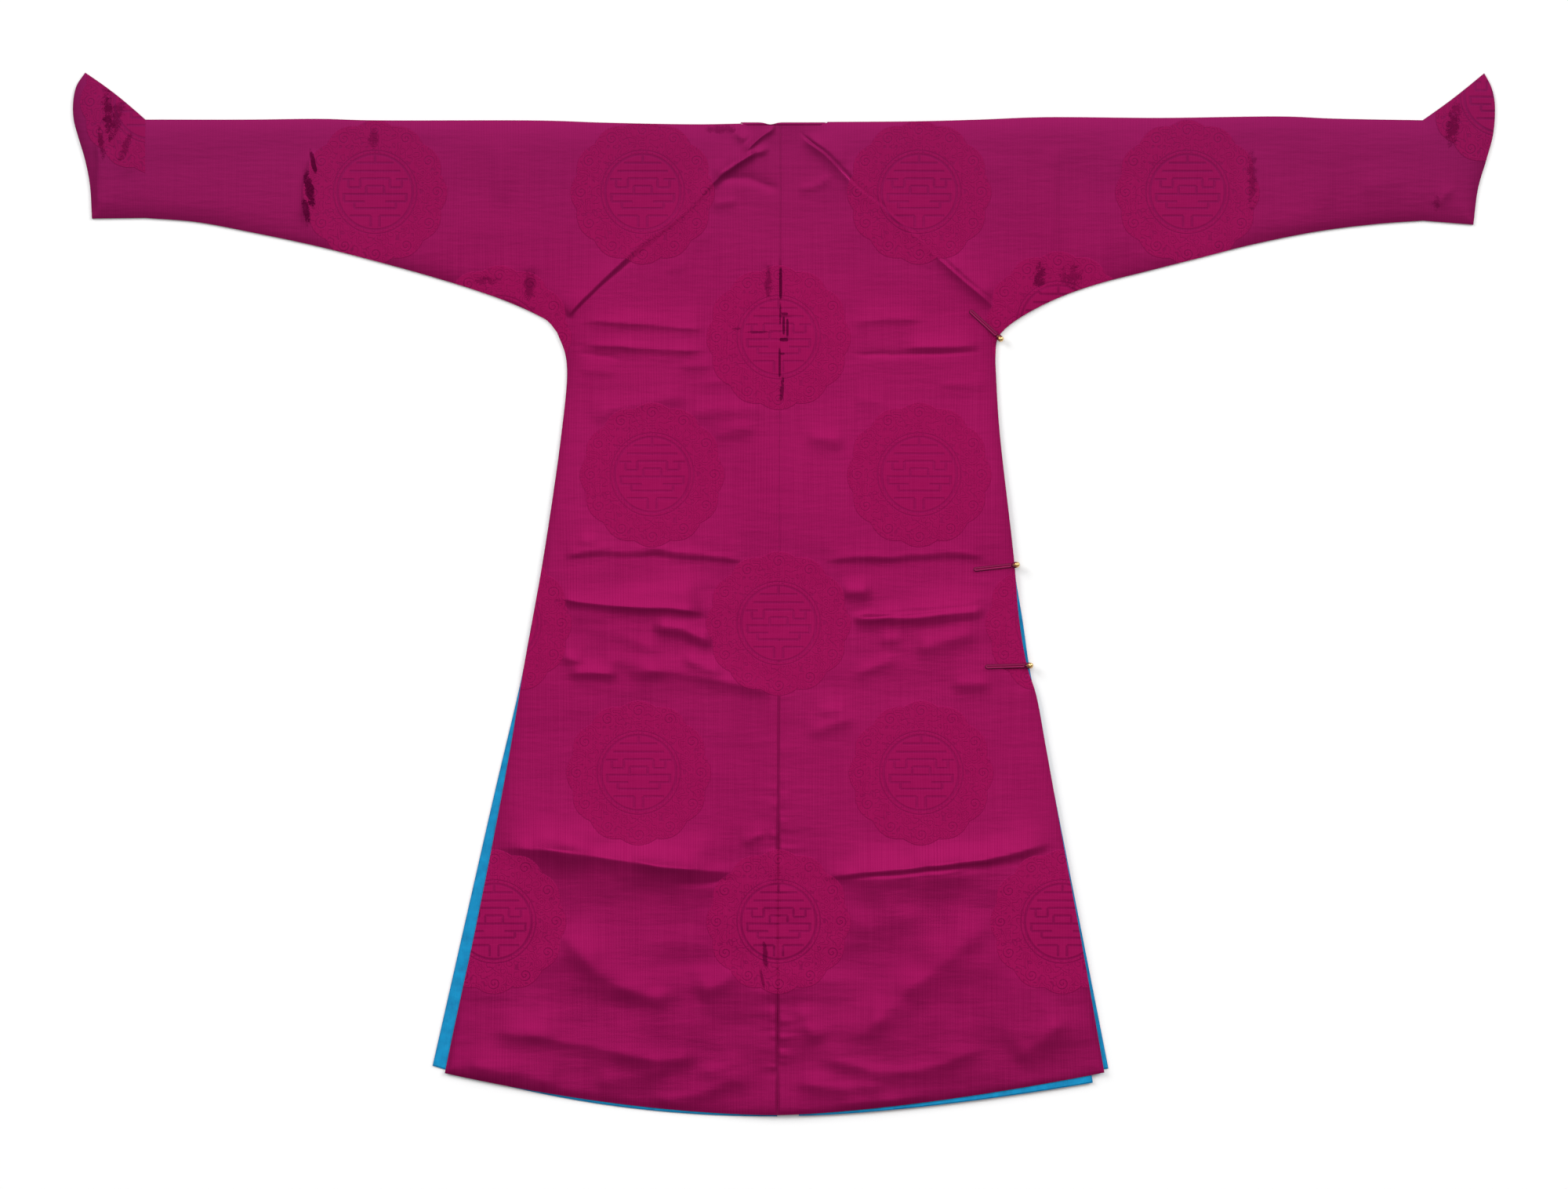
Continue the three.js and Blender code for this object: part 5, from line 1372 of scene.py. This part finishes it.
def toggle(number, drop, past_edge, tail_out, tail_drop):
    """One button with its doubled cord and its loop."""
    node = f"button_{number}"
    out = where(side["back_right"], 1, drop)[0, 0] + past_edge
    middle = np.array([out, SHOULDER_Y - drop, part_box(node)[1].z / MM - BALL_RADIUS])
    inwards = np.array([tail_out - out, drop - tail_drop, 0.0])
    length = np.linalg.norm(inwards)
    inwards /= length
    across = np.array([-inwards[1], inwards[0], 0.0])
    lean = (BALL_RADIUS - SHANK_RADIUS) / (BALL_RADIUS + SHANK_LENGTH)
    axis = inwards * math.sqrt(1 - lean**2) - np.array([0, 0, lean])
    pieces = {node: button(f"{node}_gilt", middle, axis)}
    start, far = BALL_RADIUS + SHANK_LENGTH + TAIL_RADIUS + TAIL_SPREAD, length - TAIL_SPREAD
    run, straight_side = np.linspace(start, far, 12), np.full(12, TAIL_SPREAD)
    eye, bend = np.radians([175, 150, 120]), np.radians([-60, -30, 0, 30, 60])
    ends = start + TAIL_SPREAD * np.cos(eye), TAIL_SPREAD * np.sin(eye)
    along = np.concatenate([ends[0], run, far + TAIL_SPREAD * np.cos(bend), run[::-1], ends[0][::-1]])
    turned = TAIL_SPREAD * np.sin(bend)
    aside = np.concatenate([-ends[1], -straight_side, turned, straight_side, ends[1][::-1]])
    route = middle + along[:, None] * inwards + aside[:, None] * across
    route[:, 2] = cloth_height(route[:, :2]) + TAIL_RADIUS + 0.05
    name = f"tail_{number}"
    pieces[name] = add_grid(f"{name}_cord", carried(resampled(route, 0.7), TAIL_RADIUS), "cord")
    top = cloth_height((middle + LOOP_ALONG * inwards)[None, :2])[0]
    foot = (2 * LAYER if drop > LINING_TOP else 0) + LAYER

    def at(along, aside, height):
        """A point beside the button, at a height above the ground."""
        return [*(middle + along * inwards + aside * across)[:2], height]

    def arm(aside):
        """One side of the loop, from its foot on the overlap up beside the ball."""
        up = [at(past_edge + inside, aside, top + rise) for inside, rise in LOOP_ARM]
        return [at(past_edge - 3, aside, foot), *up]

    arch_way = np.radians(np.linspace(0, 180, 9))
    crown = [at(LOOP_ALONG, LOOP_REACH * math.cos(a), top + 1.3 + 3.8 * math.sin(a)) for a in arch_way]
    name = f"loop_{number}"
    route = resampled([*arm(LOOP_SPREAD), *crown, *arm(-LOOP_SPREAD)[::-1]], 0.5)
    pieces[name] = add_grid(f"{name}_cord", carried(route, LOOP_RADIUS, 10), "cord")
    return pieces


toggles = {}
for number, row in enumerate(BUTTONS, 1):
    toggles.update(toggle(number, *row))
print("toggle pieces:", ", ".join(toggles))

# %% [markdown]
# Every piece now takes its material, rides on the frame's one body, and stands for its solid, which
# is hidden.

# %% Materials and places
RESTS_ON = {
    "front_left": [], "overlap": [], "lining_left": ["front_left"], "lining_overlap": ["overlap"],
    "front_right": ["lining_overlap"], "lining_right": ["front_right"],
    "back_left": ["lining_left", "front_left"], "back_right": ["lining_right", "front_right"],
}
for part in ("sleeve_left", "sleeve_right", "cuff_left", "cuff_right"):
    RESTS_ON[f"{part}_back"], RESTS_ON[f"{part}_front"] = [f"{part}_front"], []
for name, facts in made.items():
    piece = facts["piece"]
    lined = name.startswith("lining")
    piece.data.materials.append(materials["lining" if lined else "silk"])
    piece.data.materials.append(materials["silk" if "binding" in name else "lining"])
    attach(piece, "root")
    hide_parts(name)
    name in RESTS_ON
for name, piece in toggles.items():
    kind = name.split("_")[0]
    piece.data.materials.append(materials[kind])
    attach(piece, "root")
    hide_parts(name)
    "gilt" if kind == "button" else "cord"
print("dressed", len(made) + len(toggles), "pieces")

# %% [markdown]
# The robe was photographed from straight above against white. A broad soft light comes from beyond
# the shoulders, which brightens the silk where it faces them and darkens the lower side of every
# fold. Two weaker ones shine in from the left and the right, also from beyond the shoulders, and the
# pale surround does the rest.

# %% Floor, light and camera
FLOOR_SIZE, FLOOR_Z = 60.0, -0.0005
SURROUND_LIGHT = 0.28
PHOTO_WIDTH_M = 2.32
CAMERA_HEIGHT, CLOTH_HEIGHT_M = 40.0, 0.004
SENSOR = 36.0


def area_light(name, location, width, depth, power):
    """A soft rectangular light that faces the robe."""
    data = bpy.data.lights.new(name, "AREA")
    data.shape, data.size, data.size_y, data.energy = "RECTANGLE", width, depth, power
    light = in_scene(name, data)
    light.location = location
    light.rotation_euler = (-light.location).to_track_quat("-Z", "Y").to_euler()


bpy.ops.mesh.primitive_plane_add(size=FLOOR_SIZE, location=(0, 0, FLOOR_Z))
floor = bpy.context.object
floor.name = "floor"
paint = {"Base_Color": (0.97, 0.97, 0.97, 1), "Roughness": 0.9, "Specular_IOR_Level": 0.1}
pale = Shader("floor_paint").finish(**paint)
floor.data.materials.append(pale)
area_light("key", (0, 24.8, 76.0), 40.0, 58.0, 20000)
area_light("left_side", (-20.0, 16.0, 15.0), 16.0, 16.0, 4900)
area_light("right_side", (20.0, 16.0, 15.0), 16.0, 16.0, 4900)
world = bpy.data.worlds.new("surround")
world.use_nodes = True
background = world.node_tree.nodes["Background"]
background.inputs["Color"].default_value = (1, 1, 1, 1)
background.inputs["Strength"].default_value = SURROUND_LIGHT
bpy.context.scene.world = world
camera_data = bpy.data.cameras.new("camera")
camera_data.sensor_width = SENSOR
camera_data.clip_end = 4 * CAMERA_HEIGHT
camera_data.lens = SENSOR * CAMERA_HEIGHT / PHOTO_WIDTH_M
camera = in_scene("camera", camera_data)
camera.location = (0, 0, CAMERA_HEIGHT + CLOTH_HEIGHT_M)
bpy.context.scene.camera = camera
bpy.context.scene.view_settings.view_transform = "Standard"
print("lens", round(camera_data.lens, 1), "mm")
